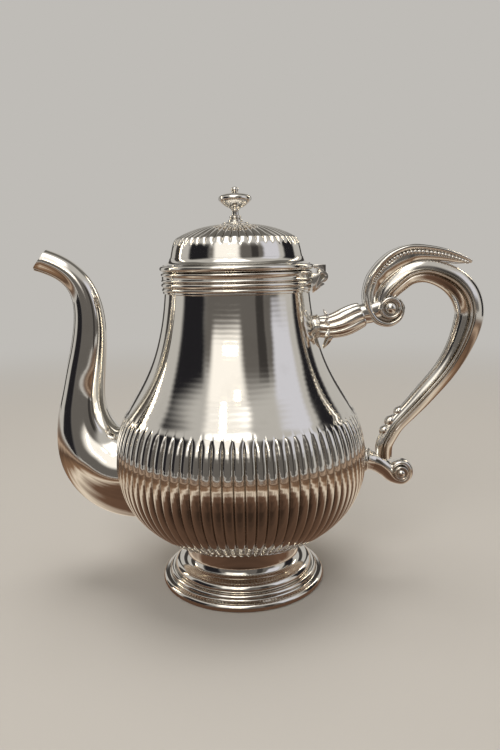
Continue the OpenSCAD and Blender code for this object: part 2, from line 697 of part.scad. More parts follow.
// Outline of the dome, from its foot up to the flat under the knob
dome_curve_low = [[dome_r, dome_z], [dome_r - 1.2, dome_z + dome_h * 0.3],
                  [dome_r - 1.3, dome_z + dome_h * 0.44], [dome_flute_r, dome_z + dome_h * 0.59]];
dome_curve_high = [[dome_flute_r, dome_z + dome_h * 0.59], [dome_flute_r - 4.4, crown_z - 4.4],
                   [20, crown_z - 0.7], [knob_base_r + 1.2, crown_z]];
crown_line = curve(dome_curve_high, 6);

// Smooth foot of the dome, below the flutes
module lid_shoulder() {
    n = 8;
    outside = curve(dome_curve_low, n);
    inside = moved(outside, [for (p = outside) lid_wall]);
    color(SILVER) rotate_extrude()
        polygon(concat(outside, [[dome_flute_r - lid_wall, outside[n].y]],
                       [for (i = [n - 1:-1:1]) inside[i]], [[dome_r - lid_wall, dome_z]]));
}

// Fluted crown of the dome, with the hole for the knob's stud
module lid_crown() {
    last = len(crown_line) - 1;
    deep = [for (i = [0:last])
        i == 0 || i == last ? 0 : dome_flute_depth * min(1, crown_line[i].x / 24)];
    rings = [for (i = [0:last])
        flute_ring(crown_line, i, deep[i], dome_flutes, i == 0 ? 0 : i == 1 ? 0.7 : 1)];
    inside = moved(crown_line, [for (d = deep) lid_wall + d * 0.6]);
    low = crown_line[0].y;
    color(SILVER) difference() {
        loft(rings);
        rotate_extrude($fn = 4 * dome_flutes)
            polygon(concat([[0, low - 1], [dome_flute_r - lid_wall, low - 1],
                            [dome_flute_r - lid_wall, low]],
                [for (i = [1:last - 1]) inside[i]], [[0, crown_z - 1.8]]));
        translate([0, 0, crown_z - 5]) cylinder(d = stud_d + 2 * seat, h = 10);
    }
}

// Bezel inside the lid, tapered so that it swings out past the mouth by the hinge
module lid_bezel() {
    top = mouth_r - 0.4;
    low = top - 0.25 * bezel_h;
    color(SILVER) rotate_extrude()
        polygon([[low, lid_z - bezel_h], [top, lid_z - seat], [top - 1.6, lid_z - seat],
                 [low - 1, lid_z - bezel_h]]);
}

// ---- Knob -----------------------------------------------------------------

knob_z = crown_z + knob_base_h;

module knob_base() {
    color(BRIGHT) difference() {
        rotate_extrude()
            polygon(concat([[0, crown_z], [knob_base_r - 0.4, crown_z]],
                arc([knob_base_r - 0.4, crown_z + 0.4], 0.4, -90, 90, 5), [[0, knob_z]]));
        translate([0, 0, crown_z - 1]) cylinder(d = stud_d + 2 * seat, h = 4);
    }
}

module knob() {
    disc_z = knob_z + knob_h * 0.66;
    top = knob_z + knob_h;
    color(BRIGHT) difference() {
        rotate_extrude() polygon(concat(
            [[0, knob_z], [3.6, knob_z]],
            arc([2.7, knob_z + 0.9], 0.9, -60, 80, 5),
            arc([2, knob_z + 2.8], 1, -70, 70, 6),
            arc([1.9, knob_z + 5], 0.8, -60, 60, 5),
            [[1.9, knob_z + 6.4]],
            curve([[1.9, knob_z + 7.4], [2.2, disc_z - 2.4], [knob_r - 3, disc_z - 2.4],
                   [knob_r - 0.6, disc_z - 0.7]], 7),
            arc([knob_r - 0.7, disc_z], 0.7, -60, 80, 6),
            curve([[knob_r - 1.4, disc_z + 0.9], [knob_r - 4, disc_z + 2.6], [3, disc_z + 2.6],
                   [2, disc_z + 3.4]], 6),
            arc([0, top - 2.1], 2.1, -30, 90, 8)));
        translate([0, 0, knob_z - 1]) cylinder(d = stud_d - 0.4, h = 3.2);
    }
}

// Threaded stud, which the nut inside the lid draws tight
module knob_stud() {
    color(BRIGHT) union() {
        translate([0, 0, crown_z - 6]) cylinder(d = stud_d, h = 6 + knob_base_h - seat);
        translate([0, 0, knob_z - 0.5]) cylinder(d = stud_d - 0.6, h = 2.4);
    }
}

module knob_nut() {
    color("lightgray") translate([0, 0, crown_z - 4.1]) difference() {
        cylinder(d = nut_w / cos(30), h = 2.2, $fn = 6);
        translate([0, 0, -1]) cylinder(d = stud_d + 2 * seat, h = 5);
    }
}

bowl();
upper_body();
neck_moulding();
rim_band();
foot();
foot_wire();
spout();
upper_collar();
upper_socket();
calyx();
handle();
handle_leaf();
scroll_bosses();
lower_collar();
lower_socket();
tail_bosses();
tail_leaf();
hinge_bracket();
hinge_pin();
lid_crown();
lid_shoulder();
lid_flare();
lid_rim();
lid_bezel();
hinge_strap();
knob_base();
knob();
knob_stud();
knob_nut();
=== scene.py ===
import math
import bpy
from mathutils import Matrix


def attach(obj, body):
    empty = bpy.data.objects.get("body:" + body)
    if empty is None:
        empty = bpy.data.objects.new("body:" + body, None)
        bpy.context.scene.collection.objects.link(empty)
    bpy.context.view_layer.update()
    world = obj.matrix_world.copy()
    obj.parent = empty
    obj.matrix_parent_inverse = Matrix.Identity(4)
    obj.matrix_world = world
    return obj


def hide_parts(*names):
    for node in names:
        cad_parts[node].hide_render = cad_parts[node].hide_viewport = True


bl_info = {
    "name": "Silver Coffee Pot",
    "version": (1, 0, 0),
    "blender": (4, 5, 0),
    "location": "3D View > Sidebar > Coffee Pot",
    "description": "Builds a reeded silver coffee pot with a swan-neck spout and a hinged lid",
    "category": "Add Mesh",
}

import bmesh
import bpy
from bpy.props import FloatProperty, FloatVectorProperty, IntProperty, PointerProperty
from mathutils import Matrix, Vector

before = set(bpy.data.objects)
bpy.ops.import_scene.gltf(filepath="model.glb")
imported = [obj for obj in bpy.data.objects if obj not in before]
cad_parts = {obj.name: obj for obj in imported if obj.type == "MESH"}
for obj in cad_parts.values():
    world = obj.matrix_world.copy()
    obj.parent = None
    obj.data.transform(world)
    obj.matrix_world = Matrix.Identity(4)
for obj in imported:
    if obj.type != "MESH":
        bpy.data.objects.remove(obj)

MM = 0.001
RING_STEPS = 192  # Steps of a full turn of the larger rings


# ---- Colours and nodes -------------------------------------------------------


def linear(hex_colour):
    """A colour as written in sRGB hex, in the linear values that the shaders take."""
    parts = [int(hex_colour[i : i + 2], 16) / 255 for i in (0, 2, 4)]
    return tuple(c / 12.92 if c < 0.04045 else ((c + 0.055) / 1.055) ** 2.4 for c in parts)


def blank(owner):
    """The node tree of a material or a world, emptied."""
    owner.use_nodes = True
    owner.node_tree.nodes.clear()
    return owner.node_tree


def add(tree, kind, settings=None, **inputs):
    """Adds one node, sets its settings and fills or links its inputs.

    An input is given by its name, with _ for a space, or as n0, n1 and so on by its number. A
    node that is given for it is linked by its first output.
    """
    node = tree.nodes.new("ShaderNode" + kind)
    for key, value in (settings or {}).items():
        setattr(node, key, value)
    for key, value in inputs.items():
        numbered = key[0] == "n" and key[1:].isdigit()
        socket = node.inputs[int(key[1:]) if numbered else key.replace("_", " ")]
        if isinstance(value, bpy.types.Node):
            value = value.outputs[0]
        if isinstance(value, bpy.types.NodeSocket):
            tree.links.new(value, socket)
        else:
            socket.default_value = value
    return node


# ---- Curves in the pot's plane, in millimetres ----------------------------------


def bezier(p, t):
    """A point of a cubic curve through four (x, z) points."""
    s = 1 - t
    w = (s * s * s, 3 * s * s * t, 3 * s * t * t, t * t * t)
    return tuple(sum(w[i] * p[i][k] for i in range(4)) for k in range(len(p[0])))


def curve(p, n):
    """The curve's points at n equal steps."""
    return [bezier(p, i / n) for i in range(n + 1)]


def arc(x, z, r, start, end, n):
    """Points of an arc about (x, z), from one angle in degrees to another."""
    angles = [math.radians(start + (end - start) * i / n) for i in range(n + 1)]
    return [(x + r * math.cos(a), z + r * math.sin(a)) for a in angles]


def ease(v):
    """A smooth step from 0 to 1."""
    t = min(max(v, 0.0), 1.0)
    return t * t * (3 - 2 * t)


def through(p, s):
    """A smooth curve through a list of stations, at place s counted in stations."""
    i = min(max(int(math.floor(s)), 0), len(p) - 2)
    t = s - i
    a, b, c, d = p[max(i - 1, 0)], p[i], p[i + 1], p[min(i + 2, len(p) - 1)]
    return tuple(
        q + 0.5 * t * ((r - o) + t * ((2 * o - 5 * q + 4 * r - e) + t * (3 * (q - r) + e - o)))
        for o, q, r, e in zip(a, b, c, d)
    )


def finer(p, n):
    """The same stations, n times as close."""
    return [through(p, k / n) for k in range((len(p) - 1) * n + 1)]


def table(p, x):
    """A value read from a table of (x, value), straight between its rows."""
    for (x0, v0), (x1, v1) in zip(p, p[1:]):
        if x <= x1:
            return v0 + (v1 - v0) * min(max((x - x0) / (x1 - x0), 0), 1)
    return p[-1][1]


def left_of(path, i):
    """The unit normal on the left of a path at its point i."""
    a, b = path[max(i - 1, 0)], path[min(i + 1, len(path) - 1)]
    x, z = b[0] - a[0], b[1] - a[1]
    n = math.hypot(x, z)
    return -z / n, x / n


def moved(path, by):
    """A path moved to its left, by a list of distances."""
    out = []
    for i, p in enumerate(path):
        nx, nz = left_of(path, i)
        out.append((p[0] + by[i] * nx, p[1] + by[i] * nz))
    return out


# ---- Work on meshes --------------------------------------------------------------


def clear_selection():
    """Leaves edit mode and deselects everything."""
    if bpy.context.mode != "OBJECT":
        bpy.ops.object.mode_set(mode="OBJECT")
    bpy.ops.object.select_all(action="DESELECT")


def pick(piece):
    """Makes one piece the only one selected, and the active one."""
    clear_selection()
    piece.select_set(True)
    bpy.context.view_layer.objects.active = piece


def open_mesh(piece):
    """Opens a piece in edit mode, with all of its mesh selected."""
    pick(piece)
    bpy.ops.object.mode_set(mode="EDIT")
    bpy.ops.mesh.select_all(action="SELECT")


def select_points(piece, test):
    """Selects in edit mode the points that pass a test."""
    mesh = bmesh.from_edit_mesh(piece.data)
    mesh.verts.ensure_lookup_table()
    for v in mesh.verts:
        v.select_set(test(v))
    mesh.select_flush_mode()
    bmesh.update_edit_mesh(piece.data)


def draw_outline(name, points, closed):
    """Draws an outline in the XZ plane, from one point that is extruded along it."""
    clear_selection()
    bpy.ops.mesh.primitive_plane_add(size=2 * MM)
    piece = bpy.context.object
    piece.name = piece.data.name = name
    bpy.ops.object.mode_set(mode="EDIT")
    bpy.ops.mesh.select_mode(type="VERT")
    bpy.ops.mesh.select_all(action="SELECT")
    bpy.ops.mesh.merge(type="CENTER")
    x0, z0 = points[0]
    bpy.ops.transform.translate(value=(x0 * MM, 0, z0 * MM))
    for x, z in points[1:]:
        bpy.ops.mesh.extrude_region_move(
            TRANSFORM_OT_translate={"value": ((x - x0) * MM, 0, (z - z0) * MM)}
        )
        x0, z0 = x, z
    if closed:
        last = len(points) - 1
        select_points(piece, lambda v: v.index in (0, last))
        bpy.ops.mesh.edge_face_add()
    return piece


def turned(name, outline, steps, closed=True):
    """Turns an outline of (radius, height) about the pot's axis, as on a lathe."""
    piece = draw_outline(name, outline, closed)
    bpy.ops.mesh.select_all(action="SELECT")
    bpy.ops.mesh.spin(
        steps=steps, dupli=False, angle=2 * math.pi, center=(0, 0, 0), axis=(0, 0, 1)
    )
    bpy.ops.mesh.select_all(action="SELECT")
    bpy.ops.mesh.remove_doubles(threshold=1e-6)
    bpy.ops.mesh.normals_make_consistent(inside=False)
    bpy.ops.object.mode_set(mode="OBJECT")
    return piece


def swept(name, section, stations, caps=True):
    """Sweeps a section along stations (x, z, half thickness, half width).

    The section is a ring of (out, across) in halves of the thickness and the width. It is
    extruded from station to station, and is turned, sized and moved at each.
    """
    piece = draw_outline(name, [(u, 0) for u, v in section], True)
    mesh = bmesh.from_edit_mesh(piece.data)
    mesh.verts.ensure_lookup_table()
    for vert, (u, v) in zip(mesh.verts, section):
        vert.co = (u * MM, v * MM, 0)
    bmesh.update_edit_mesh(piece.data)
    bpy.ops.mesh.select_all(action="SELECT")
    size, turn, place = (1.0, 1.0), 0.0, (0.0, 0.0)
    for i, (x, z, thick, wide) in enumerate(stations):
        nx, nz = left_of(stations, i)
        centre = (x * MM, 0, z * MM)
        step = {"value": ((x - place[0]) * MM, 0, (z - place[1]) * MM)}
        if i:
            bpy.ops.mesh.extrude_region_move(TRANSFORM_OT_translate=step)
        else:
            bpy.ops.transform.translate(**step)
        # The turn's sign is the wrong way round where there is no window
        bpy.ops.transform.rotate(value=turn, orient_axis="Y", center_override=centre)
        bpy.ops.transform.resize(
            value=(thick / size[0], wide / size[1], 1), center_override=centre
        )
        turn_next = math.atan2(-nz, nx)
        bpy.ops.transform.rotate(value=-turn_next, orient_axis="Y", center_override=centre)
        size, turn, place = (thick, wide), turn_next, (x, z)
    if caps:
        count = len(section)
        bpy.ops.mesh.edge_face_add()
        select_points(piece, lambda v: v.index < count)
        bpy.ops.mesh.edge_face_add()
    bpy.ops.mesh.select_all(action="SELECT")
    bpy.ops.mesh.normals_make_consistent(inside=False)
    bpy.ops.object.mode_set(mode="OBJECT")
    return piece


def apply_modifier(piece, kind, **settings):
    """Adds one modifier with its settings and applies it."""
    pick(piece)
    modifier = piece.modifiers.new(kind.title(), kind)
    for key, value in settings.items():
        setattr(modifier, key, value)
    bpy.ops.object.modifier_apply(modifier=modifier.name)


def set_down(piece, place=(0, 0, 0), turn=(0, 0, 0), size=(1, 1, 1)):
    """Puts a piece in its place, in millimetres and degrees, and applies that to its mesh."""
    pick(piece)
    piece.location = [c * MM for c in place]
    piece.rotation_euler = [math.radians(a) for a in turn]
    piece.scale = size
    bpy.ops.object.transform_apply(location=True, rotation=True, scale=True)


def joined(name, pieces):
    """Joins pieces into one, under a name."""
    clear_selection()
    for piece in pieces:
        piece.select_set(True)
    bpy.context.view_layer.objects.active = pieces[0]
    if len(pieces) > 1:
        bpy.ops.object.join()
    piece = bpy.context.object
    piece.name = piece.data.name = name
    return piece


def twin(piece):
    """A copy of a piece, with its own mesh."""
    pick(piece)
    bpy.ops.object.duplicate(linked=False)
    return bpy.context.object


def copied(piece, places):
    """Copies of a piece at places (x, y, z, size). The piece itself goes."""
    copies = []
    for x, y, z, size in places:
        copies.append(twin(piece))
        set_down(copies[-1], (x, y, z), size=(size, size, size))
    bpy.data.objects.remove(piece)
    return copies


def mirrored(piece):
    """A piece and its mirror image on the pot's other side."""
    apply_modifier(piece, "MIRROR", use_axis=(False, True, False), use_mirror_merge=False)
    open_mesh(piece)
    bpy.ops.mesh.normals_make_consistent(inside=False)
    bpy.ops.object.mode_set(mode="OBJECT")
    return piece


def cut_at_body(piece, deep):
    """Cuts a piece off inside the body's sheet, that deep under its outside."""
    outline = body_outline()[1:]
    under = [(r, z) for r, z in moved(outline, [deep] * len(outline)) if z > BLOCK_FOOT]
    block = turned("block", [(0, BLOCK_FOOT)] + under + [(0, BLOCK_TOP)], RING_STEPS, False)
    apply_modifier(piece, "BOOLEAN", object=block, operation="DIFFERENCE", solver="EXACT")
    bpy.data.objects.remove(block)


def softened(name, node, width):
    """A copy of a CAD node, with its triangles merged into faces and its edges rounded."""
    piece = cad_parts[node].copy()
    piece.data = piece.data.copy()
    piece.name = piece.data.name = name
    piece.parent = None
    for key in list(piece.keys()):
        del piece[key]
    bpy.context.scene.collection.objects.link(piece)
    open_mesh(piece)
    bpy.ops.mesh.remove_doubles(threshold=1e-6)
    bpy.ops.mesh.dissolve_limited(angle_limit=math.radians(1))
    bpy.ops.object.mode_set(mode="OBJECT")
    apply_modifier(
        piece, "BEVEL", width=width * MM, segments=2, limit_method="ANGLE",
        angle_limit=math.radians(40),
    )
    return piece


def finish(piece, body, names, nodes, angle=35):
    """Smooths a piece, gives it the finishes of those names and ties it to the frame."""
    pick(piece)
    bpy.ops.object.shade_smooth_by_angle(angle=math.radians(angle))
    kept = [p.material_index for p in piece.data.polygons] if len(names) > 1 else None
    piece.data.materials.clear()
    for name in names:
        piece.data.materials.append(finishes()[name])
    for i, p in enumerate(piece.data.polygons):
        p.material_index = kept[i] if kept else 0
    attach(piece, body)
    if nodes:
        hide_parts(*nodes)
    return piece


def lathe(name, line, body, look, node=None, steps=RING_STEPS, closed=True):
    """A turned piece with its finish, which stands for the node of its own name or another."""
    piece = turned(name, line, steps, closed)
    finish(piece, body, [look], [node or name])


# ---- The pot's lines, in millimetres -----------------------------------------------

FOOT_NECK_R = 31  # Radius of the foot where it meets the bowl
BOWL_FOOT = 24.3
BOWL_R = 71.8
BOWL_Z = 73  # Height of the bowl's widest place
FLUTE_TOP = 103.8  # Height at which the bowl's grooves end
NECK_R = 40.4
NECK_FOOT = 168.5
NECK_TOP = 174.8
MOUTH_R = 39.4
LID_FOOT = 180.2
FLARE_FOOT = 183.6
FLARE_TOP = 187.5
FLARE_IN = 35.6  # Inner radius of the lid at the flare
DOME_R = 36.6
CROWN_FOOT = 193.2  # Height at which the lid's grooves begin
DOME_TOP = 205.3
STUD_R = 1.9  # Radius of the hole for the knob's stud
WALL = 1.0  # Thickness of the body's and the lid's sheet
SPOUT_WALL = 1.2
FOOT_WALL = 1.2
SPOUT_ROOT_Z = 65
ROOT_DEPTH = 1.6  # How far under the bowl's outside the spout's root ends
SOCKET_Z = 148  # Heights at which the handle's two sockets leave the body
LOWER_Z = 69.5
BLOCK_FOOT, BLOCK_TOP = 26, 168  # Lower and upper end of the block that cuts the collars
# The strainer: radius and pitch of its holes, and the radius of the field that they fill
HOLE_R, HOLE_PITCH, STRAINER_R = 1.6, 6, 13.2

LOWER_LINE = [(FOOT_NECK_R, BOWL_FOOT), (52, 31.5), (BOWL_R, 47), (BOWL_R, BOWL_Z)]
UPPER_LINE = [(BOWL_R, BOWL_Z), (BOWL_R, 110.5), (46, 108), (NECK_R, NECK_FOOT)]
BODY_TABLE = [(z, r) for r, z in curve(LOWER_LINE, 60) + curve(UPPER_LINE, 120)]


def reed_swell(z):
    """How far the reeds' ends stand out from the smooth body."""
    return 0.5 * ease((FLUTE_TOP + 0.4 - z) / 4) * (1 - ease((101 - z) / 16))


def body_outline():
    """The body's outside over the crests, from the middle of its bottom up to the neck."""
    rows = [BOWL_Z + 2.2 * i for i in range(1, 8)] + [90 + 0.8 * i for i in range(19)]
    rows += [105 + (NECK_FOOT - 105) * i / 26 for i in range(1, 27)]
    return (
        [(0, BOWL_FOOT), (20, BOWL_FOOT)]
        + curve(LOWER_LINE, 34)
        + [(table(BODY_TABLE, z) + reed_swell(z), z) for z in rows]
        + [(NECK_R, NECK_TOP)]
    )


def groove_depth(r, z):
    """Depth of the grooves at a place of the body, as a share of the full depth."""
    return ease((FLUTE_TOP - z) / 9) * ease((r - 31.2) / 5) * min(1, 0.25 + r / 90)


def crown_groove_depth(r, z):
    """The same for the lid's crown, whose grooves fade out under the knob."""
    return ease((z - CROWN_FOOT) / 4) * ease((r - 7) / 4) * min(1, 0.3 + r / 40)


# The handle's rod: x, z, half thickness and half width, from the upper scroll to the tail
ROD = [
    (81.6, 157.6, 3.2, 3.4), (82.6, 162.4, 4.8, 3.9), (85.4, 167.4, 5.6, 4.4),
    (90.2, 172.2, 6.1, 4.9), (96.5, 176.7, 6.4, 5.25),
    (104.5, 178.1, 6.6, 5.4), (113.0, 176.1, 6.9, 5.65), (121.4, 171.4, 7.6, 6.2),
    (127.6, 164.2, 8.2, 6.7), (130.3, 155.1, 8.15, 6.7), (129.0, 145.8, 8.0, 6.55),
    (124.4, 133.5, 7.1, 5.8), (117.1, 121.1, 6.5, 5.3), (105.4, 107.1, 6.1, 5.0),
    (97.2, 98.0, 5.5, 4.5), (90.6, 90.8, 5.1, 4.2), (86.6, 84.4, 5.0, 4.1),
    (83.7, 78.2, 5.0, 4.1), (83.6, 70.2, 4.6, 3.8),
]
EYE = (84.98, 158.0)  # Middle of the upper scroll's eye
EYE_R = 6.2
TAIL = (93.06, 61.8)  # Middle of the tail scroll's eye
TAIL_R = 4.18


# ---- Settings ------------------------------------------------------------------------


class PotSizes(bpy.types.PropertyGroup):
    """Sizes of the ornament"""

    flutes: IntProperty(
        name="Reeds", description="Number of reeds round the bowl", default=80, min=40, max=120
    )
    flute_depth: FloatProperty(
        name="Groove depth", description="Depth of the grooves between the reeds",
        default=1.3 * MM, min=0.2 * MM, max=2.5 * MM, precision=5, unit="LENGTH",
    )
    lid_flutes: IntProperty(
        name="Lid reeds", description="Number of reeds round the lid's crown",
        default=48, min=24, max=72,
    )
    lid_flute_depth: FloatProperty(
        name="Lid groove depth", description="Depth of the grooves of the lid's crown",
        default=0.9 * MM, min=0.2 * MM, max=1.5 * MM, precision=5, unit="LENGTH",
    )
    bead_size: FloatProperty(
        name="Bead size", description="Radius of the largest bead along the handle's leaf",
        default=1.3 * MM, min=0.5 * MM, max=2 * MM, precision=5, unit="LENGTH",
    )
    edge: FloatProperty(
        name="Worn edge", description="Rounding of the hinge's edges from years of polishing",
        default=0.25 * MM, min=0.05 * MM, max=0.6 * MM, precision=5, unit="LENGTH",
    )


class PotFinish(bpy.types.PropertyGroup):
    """Colours of the metal"""

    silver: FloatVectorProperty(
        name="Silver", description="Colour of polished silver", subtype="COLOR",
        size=3, min=0, max=1, default=linear("EFECE6"),
    )
    tarnish: FloatVectorProperty(
        name="Tarnish", description="Colour of silver in the hollows that no cloth reaches",
        subtype="COLOR", size=3, min=0, max=1, default=linear("7A6A52"),
    )
    lining: FloatVectorProperty(
        name="Lining", description="Colour of the inside, stained by years of coffee",
        subtype="COLOR", size=3, min=0, max=1, default=linear("CFC6B4"),
    )


class StudioSettings(bpy.types.PropertyGroup):
    """Colours and light of the studio"""

    floor: FloatVectorProperty(
        name="Floor", description="Colour of the floor", subtype="COLOR", size=3, min=0, max=1,
        default=linear("C8C3BC"),
    )
    air: FloatVectorProperty(
        name="Background", description="Colour behind the pot", subtype="COLOR", size=3,
        min=0, max=1, default=linear("BFBCB7"),
    )
    window: FloatProperty(
        name="Window", description="Power of the soft lamp in front of the pot",
        default=7.0, min=0, max=60, subtype="POWER",
    )
    overhead: FloatProperty(
        name="Overhead lamp", description="Power of the soft lamp over the pot",
        default=12.0, min=0, max=60, subtype="POWER",
    )


# ---- Finishes ------------------------------------------------------------------------


def silver(name, rough, ripple, scratch, recess, hollow, rings=0.0):
    """Silver, with the traits of how its piece was made.

    Every piece has tarnish left where a cloth doesn't reach, a slight ripple from the
    hammer or the mould, and the fine marks of polishing. ripple, scratch and rings are
    heights in millimetres, and recess is the share of tarnish in the deepest hollows, which
    are read from the mesh where hollow is true, and found by how shut in a place is elsewhere.
    """
    look = bpy.context.scene.pot_finish
    material = bpy.data.materials.new(name)
    tree = blank(material)
    place = add(tree, "TexCoord").outputs["Object"]
    # Clouds of tarnish some 14 mm across, and spots of 2 mm
    clouds = add(tree, "TexNoise", Vector=place, Scale=70, Detail=4, Roughness=0.6)
    spots = add(tree, "TexNoise", Vector=place, Scale=520, Detail=3, Roughness=0.55)
    patchy = add(
        tree, "MapRange", Value=clouds, From_Min=0.35, From_Max=0.7, To_Min=0.35, To_Max=1.0
    )
    if hollow:
        deep = add(tree, "Attribute", {"attribute_name": "hollow"}).outputs["Fac"]
        shallow, deepest = 0.3, 1.0
    else:
        # Recesses narrower than 2 mm hold tarnish
        deep = add(
            tree, "AmbientOcclusion", {"samples": 8, "only_local": True}, Distance=2.2 * MM
        ).outputs["AO"]
        shallow, deepest = 0.75, 0.2
    deep = add(
        tree, "MapRange", {"interpolation_type": "SMOOTHSTEP"}, Value=deep,
        From_Min=shallow, From_Max=deepest, To_Min=0.0, To_Max=recess,
    )
    held = add(tree, "Math", {"operation": "MULTIPLY"}, n0=deep, n1=patchy)
    film = add(tree, "MapRange", Value=clouds, From_Min=0.52, From_Max=0.8, To_Min=0.0, To_Max=0.1)
    stain = add(tree, "Math", {"operation": "ADD", "use_clamp": True}, n0=held, n1=film)
    colour = add(tree, "Mix", {"data_type": "RGBA"}, n0=stain)
    colour.inputs[6].default_value = (*look.silver, 1)
    colour.inputs[7].default_value = (*look.tarnish, 1)
    dull = add(
        tree, "MapRange", Value=spots, From_Min=0.3, From_Max=0.75,
        To_Min=rough * 0.75, To_Max=rough * 1.5,
    )
    dull = add(
        tree, "Math", {"operation": "MULTIPLY_ADD", "use_clamp": True}, n0=stain, n1=0.3, n2=dull
    )
    # Marks of the polishing cloth, drawn round the axis and some five times as coarse as
    # real ones so that they show
    along = add(tree, "Mapping", Vector=place, Scale=(1.0, 1.0, 7.0))
    marks = add(tree, "TexNoise", Vector=along, Scale=900, Detail=2, Roughness=0.6)
    waves = add(tree, "TexNoise", Vector=place, Scale=45, Detail=1, Roughness=0.4)
    wavy = add(tree, "Bump", Height=waves, Strength=1.0, Distance=ripple * MM)
    if rings:
        # Faint rings some 2.6 mm apart that planishing leaves round the body
        ring = add(
            tree, "TexWave", {"bands_direction": "Z"}, Vector=place, Scale=120,
            Distortion=2.5, Detail=2, Detail_Scale=0.4,
        ).outputs["Fac"]
        wavy = add(tree, "Bump", Height=ring, Strength=1.0, Distance=rings * MM, Normal=wavy)
    fine = add(tree, "Bump", Height=marks, Strength=1.0, Distance=scratch * MM, Normal=wavy)
    shader = add(
        tree, "BsdfPrincipled", Base_Color=colour.outputs[2], Roughness=dull,
        Metallic=1.0, Normal=fine,
    )
    add(tree, "OutputMaterial", Surface=shader)
    return material


def lining(name):
    """The inside of the pot: silver that is only wiped, with a brown bloom of old coffee."""
    look = bpy.context.scene.pot_finish
    material = bpy.data.materials.new(name)
    tree = blank(material)
    place = add(tree, "TexCoord").outputs["Object"]
    height = add(tree, "SeparateXYZ", Vector=place).outputs["Z"]
    bloom = add(tree, "TexNoise", Vector=place, Scale=90, Detail=5, Roughness=0.65)
    # The bloom is strongest where coffee stands longest, below 30 mm, and thins out to 150 mm
    level = add(
        tree, "MapRange", Value=height, From_Min=30 * MM, From_Max=150 * MM, To_Min=0.9,
        To_Max=0.25,
    )
    share = add(tree, "Math", {"operation": "MULTIPLY", "use_clamp": True}, n0=level, n1=bloom)
    colour = add(tree, "Mix", {"data_type": "RGBA"}, n0=share)
    colour.inputs[6].default_value = (*look.lining, 1)
    colour.inputs[7].default_value = (*linear("6B563E"), 1)
    dull = add(tree, "MapRange", Value=bloom, From_Min=0.3, From_Max=0.7, To_Min=0.24, To_Max=0.42)
    grain = add(tree, "Bump", Height=bloom, Strength=1.0, Distance=0.05 * MM)
    shader = add(
        tree, "BsdfPrincipled", Base_Color=colour.outputs[2], Roughness=dull,
        Metallic=1.0, Normal=grain,
    )
    add(tree, "OutputMaterial", Surface=shader)
    return material


def finishes():
    """Every finish of the pot, made once."""
    made = bpy.data.materials
    if "spun_silver" not in made:
        # Silver sheet spun on a lathe, planished and buffed: a mirror with a faint ripple
        silver("spun_silver", 0.06, 0.20, 0.0025, 0.85, True, 0.008)
        # Sheet formed over a mandrel and soldered, without rings
        silver("formed_silver", 0.06, 0.14, 0.0025, 0.75, False)
        # Stouter silver turned on a lathe, for the plain rings and the foot
        silver("turned_silver", 0.055, 0.05, 0.003, 0.75, False)
        # Silver cast in sand and chased: softer reflections, dark recesses
        silver("cast_silver", 0.10, 0.16, 0.006, 0.95, False)
        # Drawn silver wire and small turned parts, polished most often
        silver("trim_silver", 0.07, 0.04, 0.003, 0.7, False)
        # Nickel silver of the pin, the stud and the nut: greyer and drawn, not polished
        nickel = silver("drawn_nickel", 0.22, 0.03, 0.01, 0.6, False)
        for node in nickel.node_tree.nodes:
            if node.type == "MIX":
                node.inputs[6].default_value = (*linear("C9C3B4"), 1)
        lining("coffee_lining")
    return made


# ---- Body ----------------------------------------------------------------------------


def reeded(piece, count, depth, share):
    """Sinks the grooves between the reeds of a turned piece.

    share gives, at a radius and a height in millimetres, how deep a groove is as a share
    of the full depth. A reed's outside is an arc, so the groove between two is sharp. The
    grooves' depth is kept on the mesh for the tarnish in them.
    """
    group = piece.vertex_groups.new(name="grooves")
    values = []
    for v in piece.data.vertices:
        x, y, z = (c / MM for c in v.co)
        r = math.hypot(x, y)
        # Only the outside is grooved. Near the axis, which is the lid's crown, it looks up
        up = 30 if r < 34 else 0
        outside = v.normal.x * x + v.normal.y * y + v.normal.z * up > 0
        deep = share(r, z) if outside else 0
        weight = 0.0
        if deep > 0:
            turn = math.atan2(y, x) / (2 * math.pi) * count
            off = abs((turn + 0.5) % 1 - 0.5) * 2
            open_to = min(1, deep * 1.4)
            near = 1 - (1 - off) / open_to
            if near > 0:
                weight = deep * (1 - math.sqrt(max(0, 1 - near * near)))
        values.append(weight)
        if weight > 0:
            group.add([v.index], weight, "REPLACE")
    attribute = piece.data.attributes.new("hollow", "FLOAT", "POINT")
    attribute.data.foreach_set("value", values)
    apply_modifier(
        piece, "DISPLACE", strength=-depth, mid_level=0.0, vertex_group="grooves",
        direction="NORMAL",
    )


